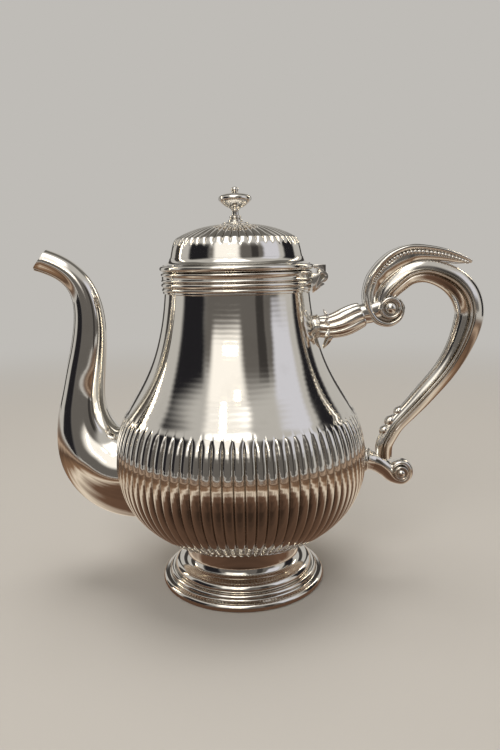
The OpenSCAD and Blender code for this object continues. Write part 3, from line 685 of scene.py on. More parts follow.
class SILVERPOT_OT_body(bpy.types.Operator):
    """Turns the body on the lathe and sinks the grooves between its reeds"""

    bl_idname = "silverpot.body"
    bl_label = "Body"

    def execute(self, context):
        sizes = context.scene.pot_sizes
        outside = body_outline()
        rows = [(r, z) for r, z in outside[2:-1] if z < 96][::3]
        rows += [(table(BODY_TABLE, z), z) for z in (97, 102, 108, 116, 126, 138, 152, 166)]
        deep = [WALL + sizes.flute_depth / MM * groove_depth(r, z) for r, z in rows]
        inside = moved(rows, deep)[1:]
        outline = outside + [(MOUTH_R, NECK_TOP)] + inside[::-1] + [(0, inside[0][1])]
        body = turned("pot_body", outline, 8 * sizes.flutes, False)
        # The lining covers the faces that look to the axis and the bottom's upper side
        for face in body.data.polygons:
            c, n = face.center, face.normal
            r = math.hypot(c.x, c.y)
            within = r > 1e-6 and (n.x * c.x + n.y * c.y) / r < -0.02
            bottom = r < FOOT_NECK_R * MM and n.z > 0.9
            face.material_index = 1 if within or bottom else 0
        reeded(body, sizes.flutes, sizes.flute_depth, groove_depth)
        # Nineteen strainer holes behind the spout
        clear_selection()
        bpy.ops.mesh.primitive_cylinder_add(vertices=24, radius=HOLE_R * MM, depth=18 * MM)
        drill = bpy.context.object
        set_down(drill, turn=(0, 90, 0))
        places = []
        for row in range(-2, 3):
            for col in range(-2, 3):
                y = (col + 0.5 * (row % 2)) * HOLE_PITCH
                z = row * HOLE_PITCH * math.cos(math.radians(30))
                if math.hypot(y, z) < STRAINER_R:
                    places.append((-68, y, SPOUT_ROOT_Z + z, 1))
        drills = joined("drills", copied(drill, places))
        apply_modifier(body, "BOOLEAN", object=drills, operation="DIFFERENCE", solver="FAST")
        bpy.data.objects.remove(drills)
        finish(body, "pot", ["spun_silver", "coffee_lining"],
               ["bowl", "upper_body"], 42)
        return {"FINISHED"}


class SILVERPOT_OT_neck(bpy.types.Operator):
    """Turns the mouldings round the neck and the band that the lid closes on"""

    bl_idname = "silverpot.neck"
    bl_label = "Neck mouldings"

    def execute(self, context):
        line = (
            [(40.5, NECK_FOOT), (40.9, NECK_FOOT)]
            + arc(40.9, 168.9, 0.4, -90, 30, 4)
            + arc(40.55, 170.6, 1.15, -50, 70, 10)
            + [(41.0, 171.75)]
            + arc(40.55, 173.1, 1.5, -58, 62, 12)
            + [(40.5, NECK_TOP)]
        )
        lathe("neck_mouldings", line, "pot", "turned_silver", "neck_moulding")
        line = (
            [(MOUTH_R, NECK_TOP), (41.2, NECK_TOP)]
            + arc(41.3, 175.5, 0.7, -90, 50, 8)
            + [(41.6, 176.2), (41.6, 177.6)]
            + arc(41.15, 178.75, 0.95, -50, 80, 10)
            + [(41.1, 179.85), (40.6, 180.0), (39.7, 180.0), (MOUTH_R, 179.7)]
        )
        lathe("rim_band", line, "pot", "turned_silver")
        return {"FINISHED"}


class SILVERPOT_OT_foot(bpy.types.Operator):
    """Spins the foot and bends the wire round its lower edge"""

    bl_idname = "silverpot.foot"
    bl_label = "Foot"

    def execute(self, context):
        line = [(FOOT_NECK_R, BOWL_FOOT - 0.05), (30.2, 16), (31.5, 12.6), (37.0, 12.15)]
        neck = curve(line, 16)
        inside = moved(neck, [-FOOT_WALL] * len(neck))
        line = (
            neck
            + arc(37.0, 8.75, 3.4, 80, 0, 12)
            + [(40.35, 7.6), (40.9, 7.9)]
            + arc(41.6, 6.3, 1.75, 95, -22, 10)
            + arc(44.6, 6.2, 1.0, 200, 262, 5)
            + [(45.9, 4.9), (45.4, 4.72), (41.0, 4.75)]
            + [p for p in inside[::-1] if p[1] > 4.8]
        )
        lathe("foot", line, "pot", "turned_silver")
        line = arc(45.2, 2.25, 2.4, -69.5, 249.5, 28) + [(45.2, 0.0)]
        lathe("foot_wire", line, "pot", "trim_silver")
        return {"FINISHED"}


# ---- Spout ---------------------------------------------------------------------------


class SILVERPOT_OT_spout(bpy.types.Operator):
    """Sweeps the swan-neck spout, draws out its lip and fits its root to the body"""

    bl_idname = "silverpot.spout"
    bl_label = "Spout"

    def execute(self, context):
        low = [(-61.8, SPOUT_ROOT_Z), (-79.8, 66), (-91.6, 82), (-90, 106)]
        middle = [(-90, 106), (-88.8, 122), (-83.5, 138), (-83.2, 153)]
        high = [(-83.2, 153), (-82.9, 168), (-87, 181.5), (-107, 188)]
        # Half thickness and half width at the ends and the middle of each of these three
        sizes = [(26.5, 24.38), (22.2, 20), (13.2, 12.54), (10.6, 10.4), (8.8, 8.45),
                 (6.9, 6.8), (6.1, 6.1)]
        path = curve(low, 36)[:-1] + curve(middle, 18)[:-1] + curve(high, 34)
        places = [2 * i / 36 for i in range(36)] + [2 + 2 * i / 18 for i in range(18)]
        places += [4 + 2 * i / 34 for i in range(35)]
        stations = [(-52, SPOUT_ROOT_Z, 25.2, 22.8), (-57, SPOUT_ROOT_Z, 25.9, 23.6)]
        stations += [(*p, *through(sizes, s)) for p, s in zip(path, places)]
        around = 64
        spout = swept("spout", round_section(around), stations, caps=False)
        # The mouth's lower lip runs out past the upper one, and its edge is a little flared
        x0, z0 = stations[-2][:2]
        x1, z1 = stations[-1][:2]
        along = Vector((x1 - x0, 0, z1 - z0)).normalized()
        out = Vector((-along.z, 0, along.x))
        last = len(stations) - 1
        for v in spout.data.vertices:
            row = v.index // around
            if row > last - 6:
                share = (1 - (last - row) / 6) ** 2
                q = (v.co / MM - Vector((stations[row][0], 0, stations[row][1]))).dot(out)
                q /= stations[row][2]
                v.co += along * share * 4.3 * (max(0, (q + 1) / 2) ** 1.6 - 0.1) * MM
                if row == last:
                    v.co += out * q * 0.15 * MM
        apply_modifier(spout, "SOLIDIFY", thickness=SPOUT_WALL * MM, offset=-1.0, use_rim=True)
        apply_modifier(
            spout, "BEVEL", width=0.25 * MM, segments=2, limit_method="ANGLE",
            angle_limit=math.radians(60),
        )
        # The root is fitted to the bowl: what would reach inside ends within the bowl's wall
        for v in spout.data.vertices:
            y, z = v.co.y / MM, v.co.z / MM
            if BOWL_FOOT < z < 120:
                inside = math.sqrt(max(0, (table(BODY_TABLE, z) - ROOT_DEPTH) ** 2 - y * y))
                v.co.x = min(v.co.x, -inside * MM)
        finish(spout, "pot", ["formed_silver"], ["spout"], 40)
        return {"FINISHED"}


# ---- Handle --------------------------------------------------------------------------


def beside(p, s):
    """A place on a curve through stations, the way to its left and a station's length there."""
    a, b = through(p, s - 0.02), through(p, s + 0.02)
    x, z = b[0] - a[0], b[1] - a[1]
    t = Vector((x, z)).normalized()
    return through(p, s), Vector((-t.y, t.x)), math.hypot(x, z) / 0.04


def reeded_section():
    """The rod's section: a broad reed outside, a thin one and an inner one on each flank."""
    half = []
    for a in (0, 11, 22, 33, 44, 54, 63, 71, 77, 81, 84, 86.5, 89, 92, 95.5, 99, 102, 104.5, 107,
              111, 117, 125, 134, 144, 156, 168, 180):
        bump = 0.0
        for groove, wide in ((84, 7), (104.5, 6)):
            bump = max(bump, 1 - abs(a - groove) / wide)
        thin = 0.05 * max(0, 1 - abs(a - 94) / 8)
        size = 1 - 0.21 * max(0, bump) ** 1.1 + thin
        half.append((size * math.cos(math.radians(a)), size * math.sin(math.radians(a))))
    return half + [(u, -v) for u, v in half[-2:0:-1]]


def round_section(n):
    """A round section of n points."""
    return [(math.cos(2 * math.pi * i / n), math.sin(2 * math.pi * i / n)) for i in range(n)]


# What joins the upper socket to the scroll, and the scroll at the handle's tail
SCROLL_NECK = [
    (62.0, 151.2, 5.2, 5.2), (66.0, 153.2, 5.6, 5.4), (69.6, 154.4, 5.8, 5.4),
    (73.0, 155.0, 5.8, 5.2), (76.0, 155.7, 5.8, 4.9), (82.0, 158.0, 5.0, 4.0),
]
TAIL_SCROLL = [
    (77.4, 68.2, 5.3, 5.0), (80.6, 66.8, 5.3, 4.9), (84.6, 63.6, 4.9, 4.6),
    (87.8, 59.6, 3.9, 4.3), (90.6, 57.4, 3.0, 4.2), (94.6, 56.5, 2.5, 4.2),
    (98.0, 59.2, 2.2, 4.1), (98.4, 63.4, 2.1, 4.0), (96.0, 66.8, 2.0, 3.9),
    (92.0, 67.4, 1.8, 3.8), (89.0, 65.2, 1.6, 3.7), (88.3, 61.8, 1.4, 3.6),
]
# The crest: a smooth strap from the leaf's free tip over the crown and round the eye, by its
# outer edge, with the half of its thickness and of its width
CREST = [
    (131.2, 183.0, 0.5, 0.7), (129.4, 184.3, 0.8, 1.5), (126.6, 185.8, 1.0, 2.0),
    (122.3, 187.7, 1.15, 2.5), (115.1, 190.2, 1.3, 3.1), (107.3, 191.8, 1.4, 3.7),
    (99.5, 192.7, 1.5, 4.3), (92.6, 192.1, 1.6, 4.9), (85.2, 189.2, 1.7, 5.3),
    (79.6, 185.0, 1.8, 5.6), (75.4, 180.3, 1.9, 5.8), (71.9, 174.5, 1.95, 5.9),
    (69.95, 165.4, 2.0, 5.9), (71.5, 156.7, 1.95, 5.8), (77.0, 149.3, 1.85, 5.6),
    (85.0, 147.2, 1.7, 5.4), (91.6, 151.2, 1.45, 5.2), (93.6, 158.0, 1.1, 5.0),
    (90.8, 163.0, 0.6, 4.8),
]
# The flank below the crest, at the same places: how deep it goes on, and its share of the width
FLANK = [
    (0.6, 0.8), (1.4, 0.8), (2.8, 0.8), (4.4, 0.8), (5.8, 0.8), (6.8, 0.8), (7.8, 0.8), (9.0, 0.8),
    (9.2, 0.78), (8.6, 0.72), (7.6, 0.62), (6.6, 0.52), (5.0, 0.45), (3.8, 0.45), (3.4, 0.5),
    (3.0, 0.55), (2.4, 0.6), (1.6, 0.7), (0.8, 0.8),
]


def strap_section():
    """A strap with rounded edges, a little fuller on its outside."""
    half = [(1.0, 0.0), (0.98, 0.3), (0.92, 0.56), (0.78, 0.78), (0.56, 0.93), (0.25, 1.0),
            (-0.15, 1.0), (-0.5, 0.95), (-0.8, 0.84), (-1.0, 0.68), (-1.0, 0.3), (-1.0, 0.0)]
    return half + [(u, -v) for u, v in half[-2:0:-1]]


def crest_stations(steps, side):
    """Stations of the crest (side 0) or of the flank below it (side 1)."""
    out = []
    for k in range(steps + 1):
        s = (len(CREST) - 1) * k / steps
        v, inward, _ = beside(CREST, s)
        if side:
            deep, share = through(FLANK, s)
            mid, half, wide = v[2] * 1.4 + deep / 2, deep / 2 + v[2] * 0.4, v[3] * share
        else:
            mid, half, wide = v[2], v[2], v[3]
        out.append((v[0] + inward.x * mid, v[1] + inward.y * mid, half, wide))
    return out


def eye(name, place, radius, ball, face):
    """An eye with a raised ring and a ball, on each side of a scroll."""
    x, z = place
    outline = (
        [(0, -0.4), (radius, -0.4), (radius, 0.25 * radius)]
        + arc(0.84 * radius, 0.16 * radius, 0.16 * radius, 0, 180, 10)
        + [(0.68 * radius, 0.06 * radius)]
        + arc(0, 0.02 * radius, ball, 3, 90, 12)
    )
    outline[-1] = (0, outline[-1][1])
    piece = turned(name, outline, 64, False)
    set_down(piece, (x, 0, z), (-90, 0, 0))
    open_mesh(piece)
    bpy.ops.transform.translate(value=(0, face * MM, 0))
    bpy.ops.object.mode_set(mode="OBJECT")
    return mirrored(piece)


class SILVERPOT_OT_handle(bpy.types.Operator):
    """Sweeps the handle's reeded rod, its two scrolls and their eyes"""

    bl_idname = "silverpot.handle"
    bl_label = "Handle"

    def execute(self, context):
        rod = swept("handle_rod", reeded_section(), finer(ROD, 7))
        finish(rod, "pot", ["cast_silver"], ["handle"], 38)
        # Swept from the tip the crest's outside is on the right, so the section is turned
        crest = swept("crest", [(-u, v) for u, v in strap_section()], crest_stations(150, 0))
        flank = swept("flank", round_section(20), crest_stations(120, 1))
        core = turned("core", [(0, -4.5), (EYE_R, -4.5), (EYE_R, 4.5), (0, 4.5)], 64, False)
        set_down(core, (EYE[0], 0, EYE[1]), (90, 0, 0))
        neck = swept("neck", round_section(32), finer(SCROLL_NECK, 4))
        scroll = joined("upper_scroll", [crest, flank, core, neck])
        finish(scroll, "pot", ["cast_silver"], [], 38)
        tail = swept("tail_scroll", round_section(28), finer(TAIL_SCROLL, 5))
        hub = turned("hub", [(0, -3.9), (4.2, -3.9), (4.2, 3.9), (0, 3.9)], 48, False)
        set_down(hub, (TAIL[0], 0, TAIL[1]), (90, 0, 0))
        tail = joined("tail_scroll", [tail, hub])
        finish(tail, "pot", ["cast_silver"], [], 38)
        eyes = eye("scroll_eyes", EYE, EYE_R, 3.6, 4.6)
        finish(eyes, "pot", ["trim_silver"], ["scroll_bosses"])
        eyes = eye("tail_eyes", TAIL, TAIL_R, 2.5, 4.2)
        finish(eyes, "pot", ["trim_silver"], ["tail_bosses"])
        return {"FINISHED"}


class SILVERPOT_OT_leaf(bpy.types.Operator):
    """Lays a row of beads along each side of the handle's crest, and the small leaf below"""

    bl_idname = "silverpot.leaf"
    bl_label = "Handle leaf"

    def execute(self, context):
        largest = context.scene.pot_sizes.bead_size / MM
        # Beads below the crest, large at the crown and smaller to both ends
        clear_selection()
        bpy.ops.mesh.primitive_uv_sphere_add(segments=14, ring_count=9, radius=1 * MM)
        bead = bpy.context.object
        open_mesh(bead)
        bpy.ops.transform.resize(value=(1, 0.8, 1))
        bpy.ops.object.mode_set(mode="OBJECT")
        places = []
        s = 0.9
        while s < 11.3:
            v, inward, step = beside(CREST, s)
            deep, share = through(FLANK, s)
            size = largest * (1 - 0.45 * abs(s - 6) / 6)
            down = 2 * v[2] + 0.15 + size * 0.9
            half = deep / 2 + v[2] * 0.4
            off = (down - v[2] * 1.4 - deep / 2) / half
            side = v[3] * share * math.sqrt(max(0.04, 1 - off * off))
            places.append((v[0] + inward.x * down, side, v[1] + inward.y * down, size))
            s += 1.98 * size / step
        beads = mirrored(joined("handle_leaf", copied(bead, places)))
        finish(beads, "pot", ["cast_silver"], ["handle_leaf"], 50)
        # Three bumps of a small leaf inside the handle's lower end
        clear_selection()
        bpy.ops.mesh.primitive_uv_sphere_add(segments=24, ring_count=14, radius=1 * MM)
        bump = bpy.context.object
        bumps = []
        for s, size in ((14.35, 3.0), (15.1, 3.5), (15.9, 3.1)):
            v, left, _ = beside(ROD, s)
            away = v[2] - 1.0
            turn = -math.degrees(math.atan2(-left.x, left.y))
            bumps.append(twin(bump))
            set_down(bumps[-1], (v[0] - left.x * away, 0, v[1] - left.y * away),
                     (0, turn, 0), (size, 1.05 * size, 0.85 * size))
        bpy.data.objects.remove(bump)
        leaf = joined("tail_leaf", bumps)
        finish(leaf, "pot", ["cast_silver"], ["tail_leaf"], 50)
        return {"FINISHED"}


UPPER_SOCKET = [
    (45.9, SOCKET_Z, 6.2, 6.1), (48.0, SOCKET_Z, 6.35, 6.2), (52.0, 148.1, 6.9, 6.7),
    (57.0, 149.2, 7.6, 7.1), (61.0, 150.7, 8.0, 7.2), (65.6, 152.8, 7.8, 6.9),
    (69.2, 154.2, 7.2, 6.4), (70.2, 154.6, 6.4, 5.9),
]
LOWER_SOCKET = [(73.2, LOWER_Z, 6.5, 6.5), (75.4, 68.8, 5.6, 5.6), (77.5, 68.1, 5.3, 5.0)]
# A leaf tip: its line, standing on the socket, and its section, hollow on the inside
TIP = [
    (4.6, -1.8, 4.8, 4.2), (3.7, 0.6, 4.2, 4.4), (2.6, 2.5, 3.3, 4.0), (1.5, 4.1, 2.4, 3.1),
    (0.6, 5.4, 1.5, 2.0), (0.1, 6.3, 0.8, 1.1),
]
TIP_SECTION = [
    (0.9, 0.0), (0.55, 0.75), (0.0, 1.0), (-0.5, 0.7), (-0.25, 0.0), (-0.5, -0.7),
    (0.0, -1.0), (0.55, -0.75),
]


class SILVERPOT_OT_sockets(bpy.types.Operator):
    """Makes the two collars on the body and the leafy sockets that hold the handle"""

    bl_idname = "silverpot.sockets"
    bl_label = "Handle sockets"

    def execute(self, context):
        high = (
            [(0, -2.5), (6.8, -2.5), (6.8, 0.2)] + arc(6.45, 0.95, 0.75, -60, 80, 8)
            + arc(5.9, 2.0, 0.55, -30, 88, 6) + [(0, 2.55)]
        )
        low = (
            [(0, -3.2), (6.9, -3.2), (6.9, 0.3)] + arc(6.4, 0.9, 0.75, -50, 85, 8)
            + [(0, 1.6)]
        )
        for name, outline, x, z, deep in (
            ("upper_collar", high, 43.2, SOCKET_Z, 0.5), ("lower_collar", low, 71.6, LOWER_Z, 1.7),
        ):
            collar = turned(name, outline, 64, False)
            set_down(collar, (x, 0, z), (0, 90, 0))
            cut_at_body(collar, deep)
            finish(collar, "pot", ["trim_silver"], [name])
        # The upper socket swells towards the scroll and is chased with long leaf lobes
        lobes = 8
        ring = []
        for i in range(96):
            a = 2 * math.pi * i / 96
            size = 1 - 0.17 * (1 - abs(math.sin(lobes / 2 * a + math.pi / 2)) ** 0.6)
            ring.append((size * math.cos(a), size * math.sin(a)))
        socket = swept("upper_socket", ring, finer(UPPER_SOCKET, 5))
        finish(socket, "pot", ["cast_silver"], ["upper_socket"], 50)
        socket = swept("lower_socket", round_section(40), finer(LOWER_SOCKET, 5))
        finish(socket, "pot", ["cast_silver"], ["lower_socket"], 50)
        # Six leaf tips that stand away from the upper socket, the lowest one the largest
        tip = swept("tip", TIP_SECTION, finer(TIP, 3))
        apply_modifier(tip, "SUBSURF", levels=1, render_levels=1)
        tips = []
        for k, size in enumerate((0.55, 0.55, 0.62, 1.0, 0.62, 0.55)):
            tips.append(twin(tip))
            set_down(tips[-1], (0, 0, 6.2), size=(size, size, size))
            set_down(tips[-1], (48.2, 0, SOCKET_Z), (60 * k, 0, 0))
        bpy.data.objects.remove(tip)
        leaves = joined("calyx", tips)
        finish(leaves, "pot", ["cast_silver"], ["calyx"], 50)
        return {"FINISHED"}


# ---- Hinge and lid -------------------------------------------------------------------


class SILVERPOT_OT_hinge(bpy.types.Operator):
    """Rounds the hinge's edges, and gives the pin, the stud and the nut their finish"""

    bl_idname = "silverpot.hinge"
    bl_label = "Hinge"

    def execute(self, context):
        edge = context.scene.pot_sizes.edge / MM
        knuckles = softened("hinge_knuckles", "hinge_bracket", edge)
        finish(knuckles, "pot", ["cast_silver"], ["hinge_bracket"])
        tongue = softened("hinge_tongue", "hinge_strap", edge)
        finish(tongue, "lid", ["cast_silver"], ["hinge_strap"])
        for node in ("hinge_pin", "knob_stud", "knob_nut"):
            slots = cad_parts[node].data.materials
            slots.clear()
            slots.append(finishes()["drawn_nickel"])
        return {"FINISHED"}


class SILVERPOT_OT_lid(bpy.types.Operator):
    """Turns the lid: its bead, flare, reeded dome and the bezel inside"""

    bl_idname = "silverpot.lid"
    bl_label = "Lid"

    def execute(self, context):
        sizes = context.scene.pot_sizes
        line = (
            [(37.2, LID_FOOT), (40.6, LID_FOOT)] + arc(41.0, 181.9, 1.7, -85, 85, 16)
            + [(40.6, FLARE_FOOT), (37.2, FLARE_FOOT)]
        )
        lathe("lid_rim", line, "lid", "turned_silver")
        line = (
            [(FLARE_IN, FLARE_FOOT), (40.9, FLARE_FOOT)]
            + curve([(40.9, 183.85), (38.8, 184.2), (37.5, 185.3), (36.95, FLARE_TOP)], 14)
            + [(FLARE_IN, FLARE_TOP)]
        )
        lathe("lid_flare", line, "lid", "turned_silver")
        side = curve([(DOME_R, 187.55), (35.4, 192.84), (35.3, 195.33), (33, 198)], 24)
        crown = curve([(33, 198), (28.6, 200.9), (20, 204.6), (8.5, DOME_TOP)], 36)
        outside = side + crown[1:] + [(STUD_R, DOME_TOP)]
        # The sheet is 0.6 mm stouter under the grooves
        rows = side[::6] + crown[1::6]
        inside = moved(rows, [WALL + (0.6 if i > 3 else 0) for i in range(len(rows))])
        inside[0] = (FLARE_IN, FLARE_TOP)
        line = outside + [(STUD_R, 203.9)] + inside[::-1]
        dome = turned("lid_dome", line, 8 * sizes.lid_flutes)
        for face in dome.data.polygons:
            face.material_index = 1 if face.normal.z < 0 else 0
        reeded(dome, sizes.lid_flutes, sizes.lid_flute_depth, crown_groove_depth)
        finish(dome, "lid", ["spun_silver", "coffee_lining"],
               ["lid_crown", "lid_shoulder"], 42)
        line = [(38.05, 176.5), (38.35, 176.4), (39.0, 180.1), (37.4, 180.1), (37.05, 176.6),
                (37.2, 176.4)]
        lathe("lid_bezel", line, "lid", "turned_silver")
        return {"FINISHED"}


class SILVERPOT_OT_knob(bpy.types.Operator):
    """Turns the knob and the small flange under it"""

    bl_idname = "silverpot.knob"
    bl_label = "Knob"

    def execute(self, context):
        line = (
            [(STUD_R, 205.32), (6.9, 205.32)] + arc(6.9, 205.75, 0.4, -90, 90, 8)
            + [(STUD_R, 206.18)]
        )
        lathe("knob_base", line, "lid", "trim_silver", steps=96)
        line = (
            [(0, 206.2), (3.6, 206.2)]
            + arc(3.2, 207.0, 0.85, -60, 75, 8)
            + arc(2.35, 209.0, 1.0, -62, 62, 8)
            + [(1.95, 210.2), (1.85, 211.6)]
            + curve([(1.85, 212.0), (1.9, 213.9), (4.4, 213.7), (6.4, 215.5)], 12)
            + curve([(6.4, 215.5), (7.8, 216.7), (9.05, 217.5), (9.05, 218.8)], 8)[1:]
            + curve([(9.05, 218.8), (9.05, 220.5), (7.2, 221.5), (2.9, 221.8)], 12)[1:]
            + [(2.2, 222.2), (1.7, 222.7)]
            + arc(0.5, 223.65, 1.53, -38, 78, 9)
            + [(0, 225.2)]
        )
        lathe("knob", line, "lid", "trim_silver", steps=96, closed=False)
        return {"FINISHED"}


# ---- Stage ---------------------------------------------------------------------------


def paper(name, colour, air):
    """A seamless sheet of matt paper, which meets the background's colour far away."""
    material = bpy.data.materials.new(name)
    tree = blank(material)
    place = add(tree, "TexCoord").outputs["Object"]
    far = add(tree, "VectorMath", {"operation": "LENGTH"}, n0=place).outputs["Value"]
    share = add(
        tree, "MapRange", {"interpolation_type": "SMOOTHERSTEP"}, Value=far,
        From_Min=0.3, From_Max=1.25,
    )
    near = add(tree, "BsdfDiffuse", Color=(*colour, 1))
    away = add(tree, "Emission", Color=(*air, 1))
    both = add(tree, "MixShader", Fac=share, n1=near, n2=away)
    add(tree, "OutputMaterial", Surface=both)
    return material


def card_finish(name, colour, light=1.0):
    """A card that shows one colour and fades out towards its edges."""
    material = bpy.data.materials.new(name)
    tree = blank(material)
    place = add(tree, "TexCoord").outputs["Object"]
    wide = add(tree, "VectorMath", {"operation": "ABSOLUTE"}, n0=place)
    parts = add(tree, "SeparateXYZ", Vector=wide).outputs
    edges = [
        add(
            tree, "MapRange", {"interpolation_type": "SMOOTHERSTEP"}, Value=parts[axis],
            From_Min=0.5, From_Max=inner,
        )
        for axis, inner in (("X", 0.28), ("Y", 0.22))
    ]
    share = add(tree, "Math", {"operation": "MULTIPLY"}, n0=edges[0], n1=edges[1])
    clear = add(tree, "BsdfTransparent")
    face = add(tree, "Emission", Color=(*colour, 1), Strength=light)
    both = add(tree, "MixShader", Fac=share, n1=clear, n2=face)
    add(tree, "OutputMaterial", Surface=both)
    return material


def table_top(name):
    """A brown table with painted rings of light and shade round the pot, broken up by its grain.
    """
    material = card_finish(name, linear("6E5544"))
    tree = material.node_tree
    face = next(node for node in tree.nodes if node.type == "EMISSION")
    place = add(tree, "TexCoord").outputs["Object"]
    place = add(tree, "Mapping", Vector=place, Location=(0, -0.15, 0), Scale=(*TABLE_SIZE, 0))
    far = add(tree, "VectorMath", {"operation": "LENGTH"}, n0=place).outputs["Value"]
    long = add(tree, "Mapping", Vector=place, Scale=(2.5, 16, 1))
    grain = add(tree, "TexNoise", Vector=long, Scale=1.5, Detail=3)
    where = add(tree, "Math", {"operation": "MULTIPLY_ADD"}, n0=grain, n1=0.16, n2=far)
    ramp = add(tree, "ValToRGB", Fac=where)
    # Painted shade round the pot, where it keeps the light off, then a painted ring of light and
    # the far table
    bands = [
        (0.1, "392B22"), (0.24, "6A5040"), (0.31, "E6D7C3"), (0.37, "8A6C54"),
        (0.5, "594538"), (0.62, "B8A08A"), (0.7, "6E594A"), (1.0, "77685E"),
    ]
    for i, (at, tone) in enumerate(bands):
        stop = ramp.color_ramp.elements[i] if i < 2 else ramp.color_ramp.elements.new(at)
        stop.position = at
        stop.color = (*linear(tone), 1)
    tree.links.new(ramp.outputs["Color"], face.inputs["Color"])
    return material


# The cards' finishes: colour and strength
CARD_FINISHES = {
    "black_card": ("232225", 1.0),
    "dark_card": ("3C3937", 1.0),
    "room_card": ("66625E", 1.0),
    "window_cloth": ("FFFAF2", 1.15),
    "ceiling_cloth": ("FFFBF5", 2.2),
    "lamp_cloth": ("FFEFD2", 9.0),
    "grey_card": ("6C6964", 1.0),
    "dim_cloth": ("D6D6DE", 1.0),
}
# The cards round the pot: the angle from the front, the angle above the floor, the distance in
# metres, the angles that a card spans, and its finish
CARDS = [
    ("room", 8, 3, 1.7, (128, 92), "room_card"),
    ("card_left", -68, 12, 1.25, (50, 62), "black_card"),
    ("card_far_left", -122, 10, 1.3, (20, 60), "dark_card"),
    ("card_over_back", 180, 62, 1.5, (96, 50), "grey_card"),
    ("card_back_left", -153, 14, 1.3, (16, 64), "dark_card"),
    ("card_back_right", 155, 14, 1.3, (16, 64), "dark_card"),
    ("card_front", 34, 12, 1.2, (15, 56), "dark_card"),
    ("card_right", 107, 10, 1.25, (36, 62), "black_card"),
    ("window", -16, 32, 1.4, (48, 42), "window_cloth"),
    ("ceiling", -14, 66, 1.35, (46, 44), "ceiling_cloth"),
    ("side_window", 66, 26, 1.35, (36, 46), "dim_cloth"),
    ("bar", -10, 23, 1.2, (22, 3), "lamp_cloth"),
    ("lamp_one", -20, 46, 1.2, (6, 4), "lamp_cloth"),
    ("lamp_two", -2, 42, 1.2, (6, 4), "lamp_cloth"),
    ("lamp_left", -112, 24, 1.2, (4, 36), "lamp_cloth"),
    ("lamp_right", 132, 30, 1.2, (4, 30), "lamp_cloth"),
]
MIDDLE = Vector((0, 0, 0.11))  # The pot's middle, which the cards and the lamps face
TABLE_SIZE = (2.2, 2.0)
CAMERA_PLACE = (6.25, -366.15, 187.19)
CAMERA_PITCH = 79.75  # Degrees, from looking straight down
CAMERA_ROLL = -0.0206  # Radians
LENS, SENSOR = 31.2, 36


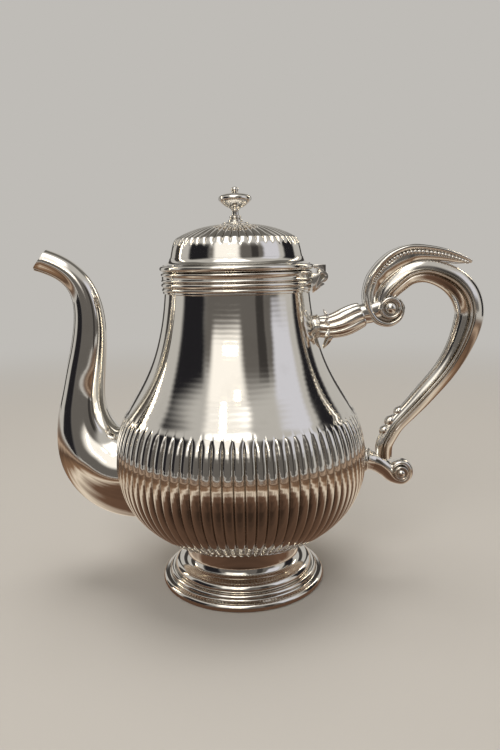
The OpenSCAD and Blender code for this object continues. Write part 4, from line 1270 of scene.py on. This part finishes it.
class SILVERPOT_OT_stage(bpy.types.Operator):
    """Sets the floor, the lights, the cards and the camera"""

    bl_idname = "silverpot.stage"
    bl_label = "Studio"

    def card(self, name, around, up, away, size, material):
        """A card that faces the pot, seen only in its reflections."""
        a, e = math.radians(around), math.radians(up)
        way = Vector((math.cos(e) * math.sin(a), -math.cos(e) * math.cos(a), math.sin(e)))
        clear_selection()
        bpy.ops.mesh.primitive_plane_add(size=1, location=MIDDLE + way * away)
        card = bpy.context.object
        card.name = name
        card.scale = [2 * away * math.tan(math.radians(angle / 2)) for angle in size] + [1]
        card.rotation_euler = (-way).to_track_quat("Z", "Y").to_euler()
        card.data.materials.append(material)
        self.reflected_only(card)

    def reflected_only(self, card):
        """Hides a card from the camera, and keeps its shade and its light off the floor."""
        card.visible_camera = card.visible_shadow = card.visible_diffuse = False

    def lamp(self, name, place, size, power, colour):
        """A soft lamp for the floor, which the metal sees as cards instead."""
        bpy.ops.object.light_add(type="AREA", location=place)
        lamp = bpy.context.object
        lamp.name = name
        lamp.data.shape = "RECTANGLE"
        lamp.data.size, lamp.data.size_y = size
        lamp.data.energy = power
        lamp.data.color = colour
        lamp.rotation_euler = (MIDDLE - Vector(place)).to_track_quat("-Z", "Y").to_euler()
        lamp.visible_glossy = False

    def air(self, colour):
        """A world of one colour, which lights the pot a little less than it shows."""
        world = bpy.data.worlds.new("studio")
        bpy.context.scene.world = world
        tree = blank(world)
        rays = add(tree, "LightPath").outputs
        seen = rays["Is Camera Ray"]
        for ray in ("Is Glossy Ray", "Is Transmission Ray"):
            seen = add(tree, "Math", {"operation": "MAXIMUM"}, n0=seen, n1=rays[ray])
        shown = add(tree, "Background", Color=(*colour, 1), Strength=1.0)
        lit = add(tree, "Background", Color=(*colour, 1), Strength=0.8)
        both = add(tree, "MixShader", Fac=seen, n1=lit, n2=shown)
        add(tree, "OutputWorld", Surface=both)

    def execute(self, context):
        studio = context.scene.studio
        clear_selection()
        bpy.ops.mesh.primitive_circle_add(vertices=96, radius=6, fill_type="NGON")
        floor = context.object
        floor.name = "floor"
        floor.data.materials.append(paper("floor_paper", studio.floor, studio.air))
        self.air(studio.air)
        made = {
            name: card_finish(name, linear(colour), light)
            for name, (colour, light) in CARD_FINISHES.items()
        }
        for name, around, up, away, size, material in CARDS:
            self.card(name, around, up, away, size, made[material])
        clear_selection()
        # The table that the metal sees, a little above the floor
        bpy.ops.mesh.primitive_plane_add(size=1, location=(0, -0.3, 0.0006))
        mat = context.object
        mat.name = "card_floor"
        mat.scale = (*TABLE_SIZE, 1)
        mat.data.materials.append(table_top("table_card"))
        self.reflected_only(mat)
        self.lamp("key", (-0.35, -1.1, 1.0), (0.5, 0.8), studio.window, (1.0, 0.985, 0.96))
        self.lamp("top", (0.1, 0.2, 1.7), (1.0, 1.0), studio.overhead, (1.0, 0.98, 0.95))
        turn = (
            Matrix.Rotation(math.radians(CAMERA_PITCH), 3, "X")
            @ Matrix.Rotation(CAMERA_ROLL, 3, "Z")
        )
        bpy.ops.object.camera_add(
            location=[c * MM for c in CAMERA_PLACE], rotation=turn.to_euler()
        )
        camera = context.object
        camera.data.lens = LENS
        camera.data.sensor_width = SENSOR
        camera.data.clip_start = 0.01
        context.scene.camera = camera
        context.scene.view_settings.view_transform = "Standard"
        return {"FINISHED"}


# ---- Add-on --------------------------------------------------------------------------


class SILVERPOT_PT_panel(bpy.types.Panel):
    """The steps that build the pot, in their order"""

    bl_idname = "SILVERPOT_PT_panel"
    bl_label = "Coffee Pot"
    bl_space_type = "VIEW_3D"
    bl_region_type = "UI"
    bl_category = "Coffee Pot"

    def draw(self, context):
        column = self.layout.column()
        for group in (context.scene.pot_sizes, context.scene.pot_finish, context.scene.studio):
            for key in group.__annotations__:
                column.prop(group, key)
        for step in STEPS:
            column.operator(step.bl_idname)


STEPS = (
    SILVERPOT_OT_body, SILVERPOT_OT_neck, SILVERPOT_OT_foot, SILVERPOT_OT_spout,
    SILVERPOT_OT_handle, SILVERPOT_OT_leaf, SILVERPOT_OT_sockets, SILVERPOT_OT_hinge,
    SILVERPOT_OT_lid, SILVERPOT_OT_knob, SILVERPOT_OT_stage,
)
CLASSES = (PotSizes, PotFinish, StudioSettings) + STEPS + (SILVERPOT_PT_panel,)


def register():
    """Registers the settings, the steps and the panel"""
    for c in CLASSES:
        bpy.utils.register_class(c)
    bpy.types.Scene.pot_sizes = PointerProperty(type=PotSizes)
    bpy.types.Scene.pot_finish = PointerProperty(type=PotFinish)
    bpy.types.Scene.studio = PointerProperty(type=StudioSettings)


def unregister():
    """Takes them out again"""
    del bpy.types.Scene.pot_sizes
    del bpy.types.Scene.pot_finish
    del bpy.types.Scene.studio
    for c in reversed(CLASSES):
        bpy.utils.unregister_class(c)


def main():
    """Builds the pot step by step"""
    register()
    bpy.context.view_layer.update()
    for step in STEPS:
        getattr(bpy.ops.silverpot, step.bl_idname.split(".")[1])()
    clear_selection()


if __name__ == "__main__":
    main()
